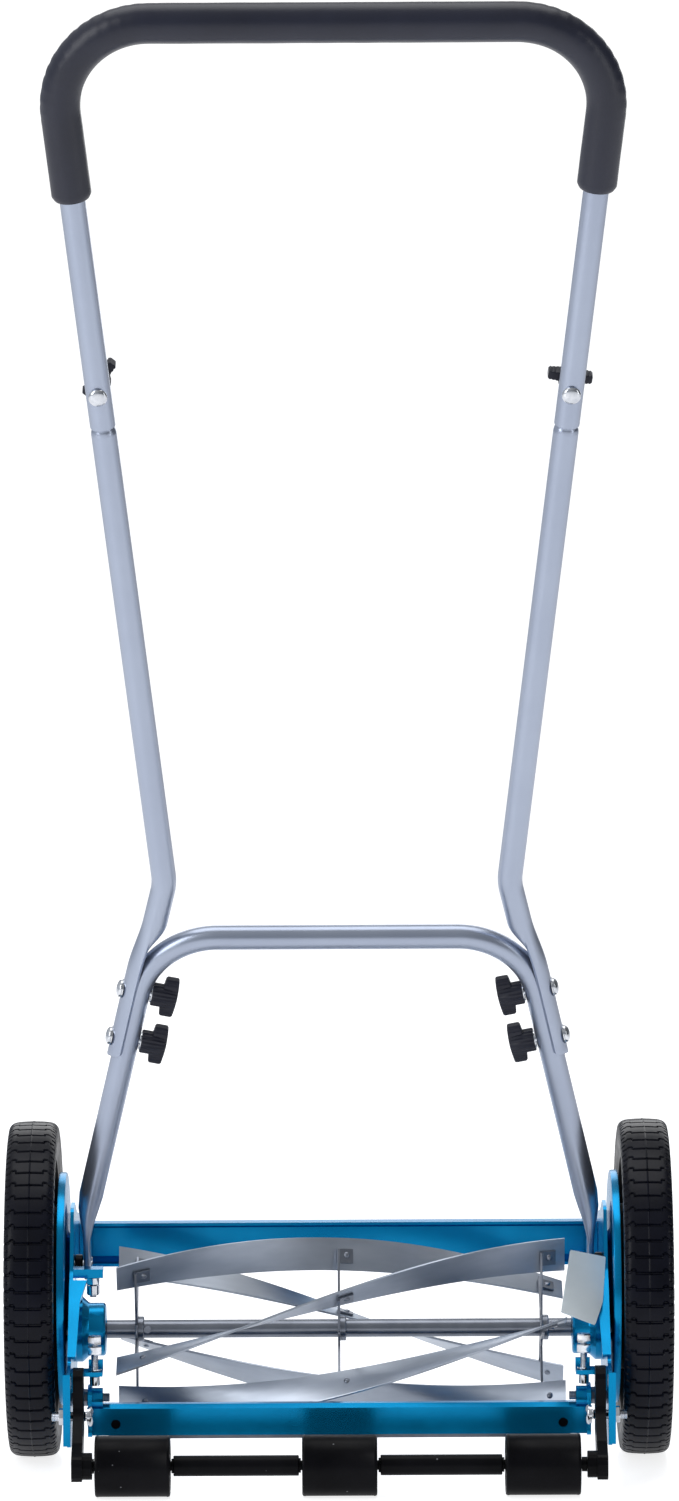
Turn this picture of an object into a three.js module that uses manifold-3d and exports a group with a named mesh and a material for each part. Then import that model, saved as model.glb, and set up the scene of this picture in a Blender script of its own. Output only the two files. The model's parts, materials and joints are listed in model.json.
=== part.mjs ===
// A push reel mower: two driven wheels, a five-blade reel, a bed knife, three rear rollers
// and a folding tube handle. Millimetres, +X to the operator's right, +Y the mowing
// direction, +Z up. Sizes below are measured from the wheel axle and the ground; the last
// lines move the origin to the middle of the footprint.
import * as THREE from "three";
import { mergeVertices } from "three/addons/utils/BufferGeometryUtils.js";
import Module from "manifold-3d";

const wasm = await Module();
wasm.setup();

const GAP = 0.3; // clearance between neighbouring pieces
const EXTRA = 2; // how far a cutting tool runs past the face it cuts
const deg = THREE.MathUtils.degToRad;

// Wheels
const WHEEL_R = 140;
const TYRE_INNER_R = 112;
const TYRE_X = 233.5; // inner face of the tyre
const TYRE_WIDTH = 41;
const WHEEL_SIDES = 36;
const RIM_X = TYRE_X + 2.5;
const RIM_WIDTH = 36;
const WEB_X = 261; // outer face of the wheel's disc
const STUD_HEAD_X = 259.6;
const AXLE = { y: 0, z: WHEEL_R };
const AXLE_R = 6;

// Gear train inside each wheel
const MODULE = 3;
const RING_TEETH = 40;
const PINION_TEETH = 12;
const PRESSURE_ANGLE = deg(20);
const BACKLASH = 0.5;
const RING_TIP_R = 59;
const RING_ROOT_R = 62.8;
const PINION_ROOT_R = 16.2;
const PINION_TIP_R = 20.1;
const CENTRE_DISTANCE = (MODULE * (RING_TEETH - PINION_TEETH)) / 2;
const MESH_ANGLE = deg(224.4); // from the wheel axle towards the reel axle, +Y towards +Z
const GEAR_X = 234.5;
const GEAR_WIDTH = 15;
const PAWL_X = 243;
const PAWL_WIDTH = 5.4;
const PAWL_HALF = 8.8;
const PAWL_THICK = 3;

// Reel
const REEL = {
  y: AXLE.y + CENTRE_DISTANCE * Math.cos(MESH_ANGLE),
  z: AXLE.z + CENTRE_DISTANCE * Math.sin(MESH_ANGLE),
};
const REEL_R = 75.2;
const BLADE_WIDTH = 27.2;
const BLADE_THICK = 2;
const BLADE_LEFT_X = -183.5;
const BLADE_RIGHT_X = 187.5;
const BLADE_LENGTH = BLADE_RIGHT_X - BLADE_LEFT_X;
const BLADE_COUNT = 5;
const BLADE_START = deg(200); // first blade at the left end
const BLADE_TWIST = deg(-107.6); // from the left end to the right end
const SHAFT_R = 7.5;
const JOURNAL_R = 5;
const SPIDER_X = 168;
const SPIDER_THICK = 2;

// Frame
const PLATE_X = 219.5;
const PLATE_THICK = 3;
const HOUSING_X = 193.5;
const HOUSING_R = 22;
const GUARD = { y: -78, z: 154 }; // middle of the clear guard over the reel's right end
const GUARD_TILT = deg(44.2);
const FLANGE_TILT = deg(43.8);

// Handle, drawn flat in its own plane: x outwards, z along the tubes from the pivot
const PIVOT = { y: -20, z: 163 };
const LEAN = deg(24);
const TUBE_R = 10;
const WALL = 1.4;
const LEG_FOOT_X = 219.6; // lower leg's line at the pivot height
const LEG_SLOPE = -0.2159;
const CROSS_Z = 316.5;
const CROSS_BEND = 67;
const UPPER_FOOT_X = 102.1; // upper legs' line at the pivot height
const UPPER_SLOPE = 0.1008;
const TOP_Z = 1121.7;
const TOP_BEND = 68;
const JOINT_Z = 781;
const NECK_LENGTH = 62;
const JOINT_BOLT_Z = 811;
const CLAMP_Z = { upper: 266, lower: 221 };
const CLAMP_BOLT_R = 3;
const CLAMP_HOLE_R = CLAMP_BOLT_R + GAP;
const CRESCENT_END_Z = 205;
const FOAM_R = 15.6;
const FOAM_END_Z = 977;
const TUBE_SIDES = 10;

// Rollers and their bracket
const ROLLER = { y: -185, z: 25 };
const ROLLER_WIDTH = 61;
const ROLLER_X = { left: -168, middle: 0, right: 165 }; // the right one sits nearer the middle
const ROLLER_AXLE_R = 4;
const BRACKET_BOLT = { y: -137, z: 57 };
const HEIGHT_TRAVEL = 12;
const BRACKET_X = 209;
const BRACKET_THICK = 8.6;
const FOOT_BOSS = 8; // how far the foot stands out towards its roller
const FOOT_BOSS_R = 11;

// Bed bar hinge and its adjusting screw
const BED_PIVOT = { y: -100, z: 66 };
const BED_HOLE = { x: 184, z: 44 };
const ADJUSTER = { x: 200.7, y: -112 };

// ---- solids ---------------------------------------------------------------

function toSolid(geometry) {
  const bare = geometry.clone();
  bare.deleteAttribute("normal");
  bare.deleteAttribute("uv");
  const merged = mergeVertices(bare, 1e-4);
  return new wasm.Manifold(
    new wasm.Mesh({
      numProp: 3,
      vertProperties: Float32Array.from(merged.attributes.position.array),
      triVerts: Uint32Array.from(merged.index.array),
    }),
  );
}

function toGeometry(solid) {
  const mesh = solid.getMesh();
  const geometry = new THREE.BufferGeometry();
  geometry.setAttribute("position", new THREE.BufferAttribute(mesh.vertProperties, 3));
  geometry.setIndex(new THREE.BufferAttribute(mesh.triVerts, 1));
  return geometry;
}

function cut(base, ...tools) {
  return toGeometry(tools.reduce((solid, tool) => solid.subtract(toSolid(tool)), toSolid(base)));
}

function join(...pieces) {
  return toGeometry(pieces.map(toSolid).reduce((a, b) => a.add(b)));
}

function flipped(geometry) {
  const turned = geometry.index ? geometry.clone() : mergeVertices(geometry);
  const index = turned.index.array;
  for (let i = 0; i < index.length; i += 3) {
    [index[i], index[i + 1]] = [index[i + 1], index[i]];
  }
  return turned;
}

function volumeOf(geometry) {
  const p = geometry.attributes.position;
  const corner = [0, 1, 2].map(() => new THREE.Vector3());
  let sum = 0;
  for (let i = 0; i < geometry.index.count; i += 3) {
    corner.forEach((v, k) => v.fromBufferAttribute(p, geometry.index.getX(i + k)));
    sum += corner[0].dot(corner[1].clone().cross(corner[2]));
  }
  return sum;
}

// A closed skin over rings that all hold the same number of points. Each ring starts at one
// edge of its section, so that point i and point n - i face each other across it.
function loft(rings) {
  const count = rings[0].length;
  const points = rings.flat();
  const index = [];
  for (let r = 0; r + 1 < rings.length; r += 1) {
    for (let i = 0; i < count; i += 1) {
      const a = r * count + i;
      const b = r * count + ((i + 1) % count);
      index.push(a, b, b + count, a, b + count, a + count);
    }
  }
  for (const [start, reverse] of [[0, true], [(rings.length - 1) * count, false]]) {
    for (let i = 0; i < count / 2; i += 1) {
      const quad = [i, i + 1, count - i - 1, (count - i) % count].map((k) => start + k);
      for (const tri of [[0, 1, 2], [0, 2, 3]]) {
        const face = tri.map((k) => quad[k]);
        if (new Set(face).size === 3) index.push(...(reverse ? face.reverse() : face));
      }
    }
  }
  const geometry = new THREE.BufferGeometry();
  geometry.setAttribute(
    "position",
    new THREE.Float32BufferAttribute(points.flatMap((p) => [p.x, p.y, p.z]), 3),
  );
  geometry.setIndex(index);
  return volumeOf(geometry) < 0 ? flipped(geometry) : geometry;
}

// Turned about the X axis through (y, z); the profile is a list of [radius, x].
function turned(profile, y = 0, z = 0, segments = 16) {
  const points = profile.map(([r, x]) => new THREE.Vector2(Math.max(r, 0), x));
  const onAxis = profile[0][0] === 0 && profile.at(-1)[0] === 0;
  if (!onAxis) points.push(points[0].clone());
  const lathe = mergeVertices(bareCopy(new THREE.LatheGeometry(points, segments)), 1e-4);
  const index = [];
  for (let i = 0; i < lathe.index.count; i += 3) {
    const face = [0, 1, 2].map((k) => lathe.index.getX(i + k));
    if (new Set(face).size === 3) index.push(...face);
  }
  lathe.setIndex(index);
  lathe.rotateZ(-Math.PI / 2);
  lathe.translate(0, y, z);
  return volumeOf(lathe) < 0 ? flipped(lathe) : lathe;
}

function bareCopy(geometry) {
  geometry.deleteAttribute("normal");
  geometry.deleteAttribute("uv");
  return geometry;
}

// A rod or a ring along X.
function rod(radius, x0, x1, y = 0, z = 0, segments = 12) {
  return turned([[0, x0], [radius, x0], [radius, x1], [0, x1]], y, z, segments);
}

// A flat outline in the YZ plane, thick from x0 to x1.
function plateX(shape, x0, x1, curveSegments = 6) {
  const depth = x1 - x0;
  const solid = new THREE.ExtrudeGeometry(shape, { depth, bevelEnabled: false, curveSegments });
  const axes = new THREE.Matrix4().set(0, 0, 1, x0, 1, 0, 0, 0, 0, 1, 0, 0, 0, 0, 0, 1);
  return solid.applyMatrix4(axes);
}

function box(x0, x1, y0, y1, z0, z1) {
  const solid = new THREE.BoxGeometry(x1 - x0, y1 - y0, z1 - z0);
  return solid.translate((x0 + x1) / 2, (y0 + y1) / 2, (z0 + z1) / 2);
}

// An outline through corners, each rounded by its own radius: [u, v, radius].
function rounded(corners, steps = 3) {
  const points = [];
  corners.forEach(([u, v, radius = 0], i) => {
    const here = new THREE.Vector2(u, v);
    const [before, after] = [corners.at(i - 1), corners[(i + 1) % corners.length]].map(
      ([a, b]) => new THREE.Vector2(a, b).sub(here).normalize(),
    );
    if (radius === 0) {
      points.push(here);
      return;
    }
    const half = before.angleTo(after) / 2;
    const reach = radius / Math.tan(half);
    const start = here.clone().addScaledVector(before, reach);
    const end = here.clone().addScaledVector(after, reach);
    const middle = before.clone().add(after).normalize();
    const centre = here.clone().addScaledVector(middle, radius / Math.sin(half));
    for (let k = 0; k <= steps; k += 1) {
      points.push(start.clone().lerp(end, k / steps).sub(centre).setLength(radius).add(centre));
    }
  });
  return new THREE.Shape(points);
}

function circleHole(shape, y, z, radius) {
  shape.holes.push(new THREE.Path().absarc(y, z, radius, 0, 2 * Math.PI, true));
  return shape;
}

// ---- gears ----------------------------------------------------------------

function involute(angle) {
  return Math.tan(angle) - angle;
}

// Outline of a toothed wheel with one tooth's middle at angle phase. The value extra widens
// each tooth along the pitch circle. A ring gear's hole is such an outline, widened.
function gearPoints(teeth, rootR, tipR, extra, phase) {
  const pitchR = (MODULE * teeth) / 2;
  const baseR = pitchR * Math.cos(PRESSURE_ANGLE);
  const halfAtPitch = Math.PI / (2 * teeth) + extra / (2 * pitchR) + involute(PRESSURE_ANGLE);
  const halfAt = (r) => halfAtPitch - involute(Math.acos(Math.min(1, baseR / r)));
  const points = [];
  const radii = rootR < baseR ? [rootR, baseR, pitchR, tipR] : [rootR, tipR];
  for (let tooth = 0; tooth < teeth; tooth += 1) {
    const middle = phase + (2 * Math.PI * tooth) / teeth;
    const up = radii.map((r) => [r, middle - halfAt(r)]);
    const down = radii.map((r) => [r, middle + halfAt(r)]).reverse();
    for (const [r, a] of [...up, ...down]) {
      points.push(new THREE.Vector2(r * Math.cos(a), r * Math.sin(a)));
    }
  }
  return points;
}

function ringGear() {
  const teeth = gearPoints(RING_TEETH, RING_TIP_R, RING_ROOT_R, BACKLASH, MESH_ANGLE);
  const shape = circleShape(RING_ROOT_R + 2);
  shape.holes.push(new THREE.Path(teeth));
  return plateX(shape, GEAR_X, GEAR_X + GEAR_WIDTH, 20).translate(0, AXLE.y, AXLE.z);
}

function pinion() {
  const teeth = gearPoints(PINION_TEETH, PINION_ROOT_R, PINION_TIP_R, -BACKLASH, MESH_ANGLE);
  const solid = plateX(new THREE.Shape(teeth), GEAR_X, GEAR_X + GEAR_WIDTH).translate(0, REEL.y, REEL.z);
  const bore = rod(JOURNAL_R + GAP, GEAR_X - EXTRA, GEAR_X + GEAR_WIDTH + EXTRA, REEL.y, REEL.z);
  const pocket = rod(PAWL_HALF + 1, PAWL_X - 0.5, GEAR_X + GEAR_WIDTH + EXTRA, REEL.y, REEL.z);
  return cut(solid, bore, pocket);
}

// ---- wheels ---------------------------------------------------------------

function tyre() {
  const out = (share) => TYRE_X + TYRE_WIDTH * share;
  const profile = [
    [TYRE_INNER_R, out(0.07)],
    [126, out(0)],
    [134, out(0.03)],
    [138.4, out(0.11)],
    [WHEEL_R, out(0.26)],
    [WHEEL_R, out(0.74)],
    [138.4, out(0.89)],
    [134, out(0.97)],
    [126, out(1)],
    [TYRE_INNER_R, out(0.93)],
  ];
  return turned(profile, AXLE.y, AXLE.z, WHEEL_SIDES);
}

function wheel() {
  const rimR = TYRE_INNER_R - GAP;
  const profile = [
    [0, WEB_X + 8],
    [18, WEB_X + 6],
    [18, WEB_X],
    [108, WEB_X],
    [108, RIM_X + RIM_WIDTH],
    [rimR, RIM_X + RIM_WIDTH],
    [rimR, RIM_X],
    [108, RIM_X],
    [108, WEB_X - 4],
    [69, WEB_X - 4],
    [69, GEAR_X - 1],
    [RING_ROOT_R + 1, GEAR_X - 1],
    [RING_ROOT_R + 1, WEB_X - 4],
    [16, WEB_X - 4],
    [16, GEAR_X + 3],
    [AXLE_R + GAP, GEAR_X + 3],
    [AXLE_R + GAP, STUD_HEAD_X - 0.6],
    [10, STUD_HEAD_X - 0.6],
    [10, WEB_X + 5],
    [0, WEB_X + 5],
  ];
  return join(turned(profile, AXLE.y, AXLE.z, WHEEL_SIDES), ringGear());
}

function axleStud() {
  const profile = [
    [0, 213.5],
    [10, 213.5],
    [10, PLATE_X - GAP],
    [AXLE_R, PLATE_X - GAP],
    [AXLE_R, STUD_HEAD_X],
    [9, STUD_HEAD_X],
    [9, STUD_HEAD_X + 4.4],
    [0, STUD_HEAD_X + 4.4],
  ];
  return turned(profile, AXLE.y, AXLE.z);
}

function dustCover() {
  const inner = PLATE_X + PLATE_THICK + GAP;
  const sheet = 1.5;
  const back = inner + 3.4;
  const lip = TYRE_X - 0.9;
  const outerR = 97;
  const profile = [
    [AXLE_R + 1, inner],
    [44, inner],
    [49, back],
    [outerR, back],
    [outerR, lip],
    [outerR - sheet, lip],
    [outerR - sheet, back + sheet],
    [48.2, back + sheet],
    [43.2, inner + sheet],
    [AXLE_R + 1, inner + sheet],
  ];
  const shaftHole = rod(JOURNAL_R + 3, inner - EXTRA, back + sheet + EXTRA, REEL.y, REEL.z);
  return cut(turned(profile, AXLE.y, AXLE.z, 28), shaftHole);
}

// ---- reel -----------------------------------------------------------------

// Angle of blade number k at x, measured from +Y towards +Z.
function bladeAngle(k, x) {
  const share = (x - BLADE_LEFT_X) / BLADE_LENGTH;
  return BLADE_START - (2 * Math.PI * k) / BLADE_COUNT + BLADE_TWIST * share;
}

function blade(k) {
  const stations = 18;
  const rings = [];
  for (let i = 0; i <= stations; i += 1) {
    const x = BLADE_LEFT_X + (BLADE_LENGTH * i) / stations;
    const a = bladeAngle(k, x);
    const at = (r, t) =>
      new THREE.Vector3(
        x,
        REEL.y + r * Math.cos(a) - t * Math.sin(a),
        REEL.z + r * Math.sin(a) + t * Math.cos(a),
      );
    const [r0, r1, t] = [REEL_R - BLADE_WIDTH, REEL_R, BLADE_THICK / 2];
    rings.push([at(r0, -t), at(r1, -t), at(r1, t), at(r0, t)]);
  }
  return loft(rings);
}

// A five-armed plate; each arm stands against the rear face of its blade.
function spider(x) {
  const armWidth = 9;
  const [hubR, armR] = [17, 60];
  const offset = BLADE_THICK / 2 + 0.9;
  const arms = [];
  for (let k = 0; k < BLADE_COUNT; k += 1) {
    const a = bladeAngle(k, x);
    const arm = new THREE.Shape();
    arm.moveTo(5, offset);
    arm.lineTo(armR, offset);
    arm.lineTo(armR, offset + armWidth * 0.6);
    arm.lineTo(hubR, offset + armWidth);
    arm.lineTo(5, offset + armWidth);
    arms.push(plateX(arm, -SPIDER_THICK / 2, SPIDER_THICK / 2).rotateX(a));
  }
  const hub = rod(hubR, -SPIDER_THICK / 2, SPIDER_THICK / 2, 0, 0, 20);
  const bore = rod(SHAFT_R + 2 * GAP, -EXTRA, EXTRA, 0, 0, 16);
  const star = cut(join(hub, ...arms), bore);
  return star.translate(x, REEL.y, REEL.z);
}

function reelShaft() {
  const shoulder = HOUSING_X - GAP;
  const end = GEAR_X + GEAR_WIDTH;
  const profile = [
    [0, -end],
    [JOURNAL_R, -end],
    [JOURNAL_R, -shoulder],
    [SHAFT_R, -shoulder],
    [SHAFT_R, shoulder],
    [JOURNAL_R, shoulder],
    [JOURNAL_R, end],
    [0, end],
  ];
  const half = PAWL_THICK / 2 + GAP;
  const slots = [-1, 1].map((side) => {
    const [a, b] = [side * (PAWL_X - GAP), side * (end + EXTRA)].sort((p, q) => p - q);
    return box(a, b, REEL.y - half, REEL.y + half, REEL.z - 20, REEL.z + 20);
  });
  return cut(turned(profile, REEL.y, REEL.z), ...slots);
}

function pawl() {
  const half = PAWL_THICK / 2;
  return box(
    PAWL_X,
    PAWL_X + PAWL_WIDTH,
    REEL.y - half,
    REEL.y + half,
    REEL.z - PAWL_HALF,
    REEL.z + PAWL_HALF,
  );
}

function bearingHousing() {
  const back = PLATE_X - GAP;
  const profile = [
    [JOURNAL_R + GAP, HOUSING_X],
    [HOUSING_R - 2, HOUSING_X],
    [HOUSING_R, HOUSING_X + 2],
    [HOUSING_R, back - 12],
    [HOUSING_R + 5, back - 7],
    [HOUSING_R + 5, back],
    [JOURNAL_R + GAP, back],
  ];
  return turned(profile, REEL.y, REEL.z, 20);
}

// ---- frame ----------------------------------------------------------------

function sidePlate() {
  const outline = rounded([
    [108, 186, 8],
    [40, 198, 20],
    [-8, 214, 10],
    [-34, 212, 10],
    [-60, 165, 14],
    [-128, 98, 14],
    [-152, 94, 5],
    [-152, 34, 5],
    [-110, 28, 16],
    [-40, 52, 30],
    [40, 78, 30],
    [108, 140, 8],
  ]);
  circleHole(outline, AXLE.y, AXLE.z, AXLE_R + GAP);
  circleHole(outline, REEL.y, REEL.z, JOURNAL_R + 2);
  circleHole(outline, PIVOT.y, PIVOT.z, 4 + GAP);
  circleHole(outline, BRACKET_BOLT.y, BRACKET_BOLT.z, 4 + GAP);
  circleHole(outline, BED_PIVOT.y, BED_PIVOT.z, 4 + GAP);
  const inner = PLATE_X;
  const outer = PLATE_X + PLATE_THICK;
  const flangeShape = new THREE.Shape([
    new THREE.Vector2(208, -12),
    new THREE.Vector2(213.4, -34),
    new THREE.Vector2(215.6, -90),
    new THREE.Vector2(outer, -90),
    new THREE.Vector2(outer, -12),
  ]);
  const slopedFlange = new THREE.ExtrudeGeometry(flangeShape, { depth: 3.5, bevelEnabled: false })
    .rotateX(FLANGE_TILT)
    .translate(0, -58.3, 164.2);
  const rearFlange = new THREE.Shape([
    new THREE.Vector2(-152, 35),
    new THREE.Vector2(-149.5, 35),
    new THREE.Vector2(-149.5, 94),
    new THREE.Vector2(-152, 94),
  ]);
  const ear = box(194, inner + 1, ADJUSTER.y - 9, ADJUSTER.y + 11, 87, 90.5);
  const earWeb = box(218, inner + 1, ADJUSTER.y - 9, ADJUSTER.y + 11, 74, 90.5);
  const earLip = box(194, 206, ADJUSTER.y + 8.5, ADJUSTER.y + 11, 90, 98);
  const upperEar = box(195, inner + 1, -58, -42, 162.5, 165.5);
  const upperLip = box(195, inner + 1, -58, -55, 158.2, 165.5);
  const screwHole = new THREE.CylinderGeometry(3.4, 3.4, 20, 16)
    .rotateX(Math.PI / 2)
    .translate(ADJUSTER.x, ADJUSTER.y, 88);
  const body = join(
    plateX(outline, inner, outer),
    slopedFlange,
    plateX(rearFlange, inner, 225.5),
    ear,
    earWeb,
    earLip,
    upperEar,
    upperLip,
  );
  return cut(body, screwHole);
}

function channel(points, halfLength) {
  const shape = new THREE.Shape(points.map(([y, z]) => new THREE.Vector2(y, z)));
  return plateX(shape, -halfLength, halfLength);
}

function frontTieBar() {
  const outline = [
    [82, 181.6],
    [82, 179.2],
    [95, 179.2],
    [99, 175],
    [99, 151],
    [95, 147],
    [82, 147],
    [82, 144.6],
    [97, 144.6],
    [101.5, 150],
    [101.5, 176],
    [97, 181.6],
  ];
  return channel(outline, PLATE_X - GAP);
}

function handleStud() {
  const profile = [
    [0, 204.7],
    [4, 204.7],
    [4, 216],
    [7, 216],
    [7, PLATE_X - GAP],
    [4, PLATE_X - GAP],
    [4, PLATE_X + PLATE_THICK],
    [0, PLATE_X + PLATE_THICK],
  ];
  return turned(profile, PIVOT.y, PIVOT.z, 12);
}

// Carriage bolt along X with its dome inside and its nut outside.
function bracketBolt() {
  const nutIn = PLATE_X + PLATE_THICK + GAP;
  const profile = [
    [0, 200.4],
    [5, 201.6],
    [8.4, 205],
    [8.4, 206.4],
    [4, 206.4],
    [4, nutIn],
    [7, nutIn],
    [7, nutIn + 6],
    [4, nutIn + 6],
    [4, nutIn + 13],
    [0, nutIn + 13],
  ];
  return turned(profile, BRACKET_BOLT.y, BRACKET_BOLT.z, 12);
}

function bedPivotBolt() {
  const profile = [
    [0, 189],
    [3.7, 189],
    [3.7, 207],
    [7, 207],
    [7, PLATE_X - GAP],
    [4, PLATE_X - GAP],
    [4, PLATE_X + PLATE_THICK + 1.2],
    [0, PLATE_X + PLATE_THICK + 1.2],
  ];
  return turned(profile, BED_PIVOT.y, BED_PIVOT.z, 12);
}

function adjusterScrew() {
  const profile = [
    [0, 78.2],
    [4.2, 78.2],
    [4.2, 86],
    [3, 86],
    [3, 104],
    [6.2, 104],
    [6.2, 111],
    [3, 111],
    [3, 112.4],
    [6, 112.4],
    [6, 119.5],
    [0, 119.5],
  ];
  const screw = turned(profile, 0, 0, 12).rotateY(-Math.PI / 2);
  return screw.translate(ADJUSTER.x, ADJUSTER.y, 0);
}

function reelEndGuard() {
  const lift = 2.4;
  const hinge = 216; // the guard rises from here towards the reel, to clear the blades
  const shape = rounded([
    [179.6 - hinge, -39.9, 1],
    [209.3 - hinge, -45.6, 1],
    [216.5 - hinge, -21.1, 4],
    [220.4 - hinge, 25.8, 1],
    [189.4 - hinge, 25.2, 1],
  ]);
  const solid = new THREE.ExtrudeGeometry(shape, { depth: 1.5, bevelEnabled: false });
  return solid.rotateY(deg(20)).rotateX(GUARD_TILT).translate(hinge, GUARD.y, GUARD.z + lift);
}

// ---- bed ------------------------------------------------------------------

function bedBar() {
  const outline = [
    [-103, 34.8],
    [-103, 57],
    [-99.5, 60.4],
    [-92, 60.4],
    [-92, 58],
    [-98.5, 58],
    [-100.5, 56],
    [-100.5, 37.4],
    [-76, 39.8],
    [-76, 37.3],
  ];
  const plate = rounded([
    [-120, 36, 4],
    [-78, 36, 4],
    [-84, 60, 10],
    [-98, 77, 6],
    [-118, 77, 6],
  ]);
  circleHole(plate, BED_PIVOT.y, BED_PIVOT.z, 3.7 + GAP);
  const { y, z } = BED_PIVOT;
  const bosses = [-199, 199].map((x) => rod(8, x - 4.5, x + 4.5, y, z, 20));
  const body = join(
    channel(outline, 204),
    plateX(plate, 203, 206.4),
    plateX(plate, -206.4, -203),
    ...bosses,
  );
  const bores = [-200, 200].map((x) => rod(3.7 + GAP, x - 10, x + 10, y, z));
  const holes = [-BED_HOLE.x, BED_HOLE.x].map((x) =>
    new THREE.CylinderGeometry(4, 4, 10, 16).translate(x, -103, BED_HOLE.z),
  );
  return cut(body, ...holes, ...bores);
}

function bedKnife() {
  const outline = [
    [-99, 31.3],
    [-60, 35.4],
    [-55.4, 38.6],
    [-56, 39],
    [-99, 34.3],
  ];
  return channel(outline, 190);
}

// ---- rollers --------------------------------------------------------------

function rollerBracket() {
  const outline = rounded([
    [-125, 97, 9],
    [-148, 97, 9],
    [-148, 62, 8],
    [-172, 42, 12],
    [-198, 32, 8],
    [-198, 13, 8],
    [-174, 13, 8],
    [-125, 46, 12],
  ]);
  circleHole(outline, ROLLER.y, ROLLER.z, ROLLER_AXLE_R + GAP);
  const reach = HEIGHT_TRAVEL + 0.2;
  const slot = new THREE.Path();
  slot.absarc(BRACKET_BOLT.y, BRACKET_BOLT.z + reach, 4 + GAP, 0, Math.PI);
  slot.absarc(BRACKET_BOLT.y, BRACKET_BOLT.z - reach, 4 + GAP, Math.PI, 2 * Math.PI);
  outline.holes.push(slot);
  const boss = rod(FOOT_BOSS_R, BRACKET_X - FOOT_BOSS, BRACKET_X + 1, ROLLER.y, ROLLER.z, 20);
  const bore = rod(ROLLER_AXLE_R + GAP, BRACKET_X - 2 * FOOT_BOSS, BRACKET_X + EXTRA, ROLLER.y, ROLLER.z);
  return cut(join(plateX(outline, BRACKET_X, BRACKET_X + BRACKET_THICK), boss), bore);
}

// Rod and spacer sleeves as one stepped piece.
function rollerAxle() {
  const neck = 6;
  const sleeve = 8.4;
  const half = ROLLER_WIDTH / 2;
  const outwards = (rollerX) => [
    [ROLLER_AXLE_R, half + 1],
    [neck, half + 1],
    [neck, half + 2.6],
    [sleeve, half + 2.6],
    [sleeve, rollerX - half - 2.6],
    [neck, rollerX - half - 2.6],
    [neck, rollerX - half - 1],
    [ROLLER_AXLE_R, rollerX - half - 1],
    [ROLLER_AXLE_R, rollerX + half + 1],
    [neck, rollerX + half + 1],
    [neck, BRACKET_X - FOOT_BOSS - GAP],
    [ROLLER_AXLE_R, BRACKET_X - FOOT_BOSS - GAP],
    [ROLLER_AXLE_R, 217.4],
    [0, 217.4],
  ];
  const left = outwards(-ROLLER_X.left).map(([r, x]) => [r, -x]).reverse();
  return turned([...left, ...outwards(ROLLER_X.right)], ROLLER.y, ROLLER.z, 12);
}

function roller(x) {
  const [half, radius, bore] = [ROLLER_WIDTH / 2, ROLLER.z, ROLLER_AXLE_R + GAP];
  const profile = [
    [bore, -half],
    [radius - 3, -half],
    [radius, -half + 3],
    [radius, half - 3],
    [radius - 3, half],
    [bore, half],
  ];
  return turned(profile.map(([r, u]) => [r, u + x]), ROLLER.y, ROLLER.z, 24);
}

// ---- handle, in its own plane ---------------------------------------------

const lowerLegX = (z) => LEG_FOOT_X + LEG_SLOPE * z;
const upperLegX = (z) => UPPER_FOOT_X + UPPER_SLOPE * z;

// Points of a path through corners [x, z], with arcs of the given radius at each corner.
function bentPath(corners, radius, steps = 6) {
  const path = [new THREE.Vector2(...corners[0])];
  for (let i = 1; i + 1 < corners.length; i += 1) {
    const here = new THREE.Vector2(...corners[i]);
    const back = new THREE.Vector2(...corners[i - 1]).sub(here).normalize();
    const on = new THREE.Vector2(...corners[i + 1]).sub(here).normalize();
    const half = back.angleTo(on) / 2;
    const turn = Math.PI - 2 * half;
    const centre = back.clone().add(on).normalize().multiplyScalar(radius / Math.sin(half)).add(here);
    const start = here.clone().addScaledVector(back, radius / Math.tan(half)).sub(centre);
    const sign = Math.sign(back.clone().negate().cross(on));
    for (let k = 0; k <= steps; k += 1) {
      const angle = (sign * turn * k) / steps;
      path.push(start.clone().rotateAround(new THREE.Vector2(), angle).add(centre));
    }
  }
  path.push(new THREE.Vector2(...corners.at(-1)));
  return path;
}

// Rings of a tube along a flat path. section(t, share along, index) gives [side, normal].
function ringsAlong(path, section, sides = TUBE_SIDES) {
  return path.map((p, i) => {
    const ahead = path[Math.min(i + 1, path.length - 1)];
    const behind = path[Math.max(i - 1, 0)];
    const tangent = ahead.clone().sub(behind).normalize();
    const side = new THREE.Vector2(tangent.y, -tangent.x);
    return Array.from({ length: sides }, (_, k) => {
      const t = -Math.PI / 2 + (2 * Math.PI * k) / sides;
      const [u, v] = section(t, p, i);
      return new THREE.Vector3(p.x + side.x * u, v, p.y + side.y * u);
    });
  });
}

function roundTube(path, radius) {
  return loft(ringsAlong(path, (t) => [radius * Math.cos(t), radius * Math.sin(t)]));
}

function withLongerEnds(path) {
  const longer = path.map((p) => p.clone());
  for (const [end, next] of [[0, 1], [path.length - 1, path.length - 2]]) {
    const out = path[end].clone().sub(path[next]).normalize();
    longer[end].addScaledVector(out, EXTRA);
  }
  return longer;
}

// A bolt hole or bolt across a leg: along the leg's own side direction, at height z.
function acrossLeg(geometry, x, z, slope) {
  return geometry.rotateY(Math.atan(slope)).translate(x, 0, z);
}

const topPath = (endZ) =>
  bentPath(
    [
      [upperLegX(endZ), endZ],
      [upperLegX(TOP_Z), TOP_Z],
      [-upperLegX(TOP_Z), TOP_Z],
      [-upperLegX(endZ), endZ],
    ],
    TOP_BEND,
  );

function jointHole(side) {
  const hole = new THREE.CylinderGeometry(CLAMP_HOLE_R, CLAMP_HOLE_R, 60, 8);
  return hole.translate(side * upperLegX(JOINT_BOLT_Z), 0, JOINT_BOLT_Z);
}

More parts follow.
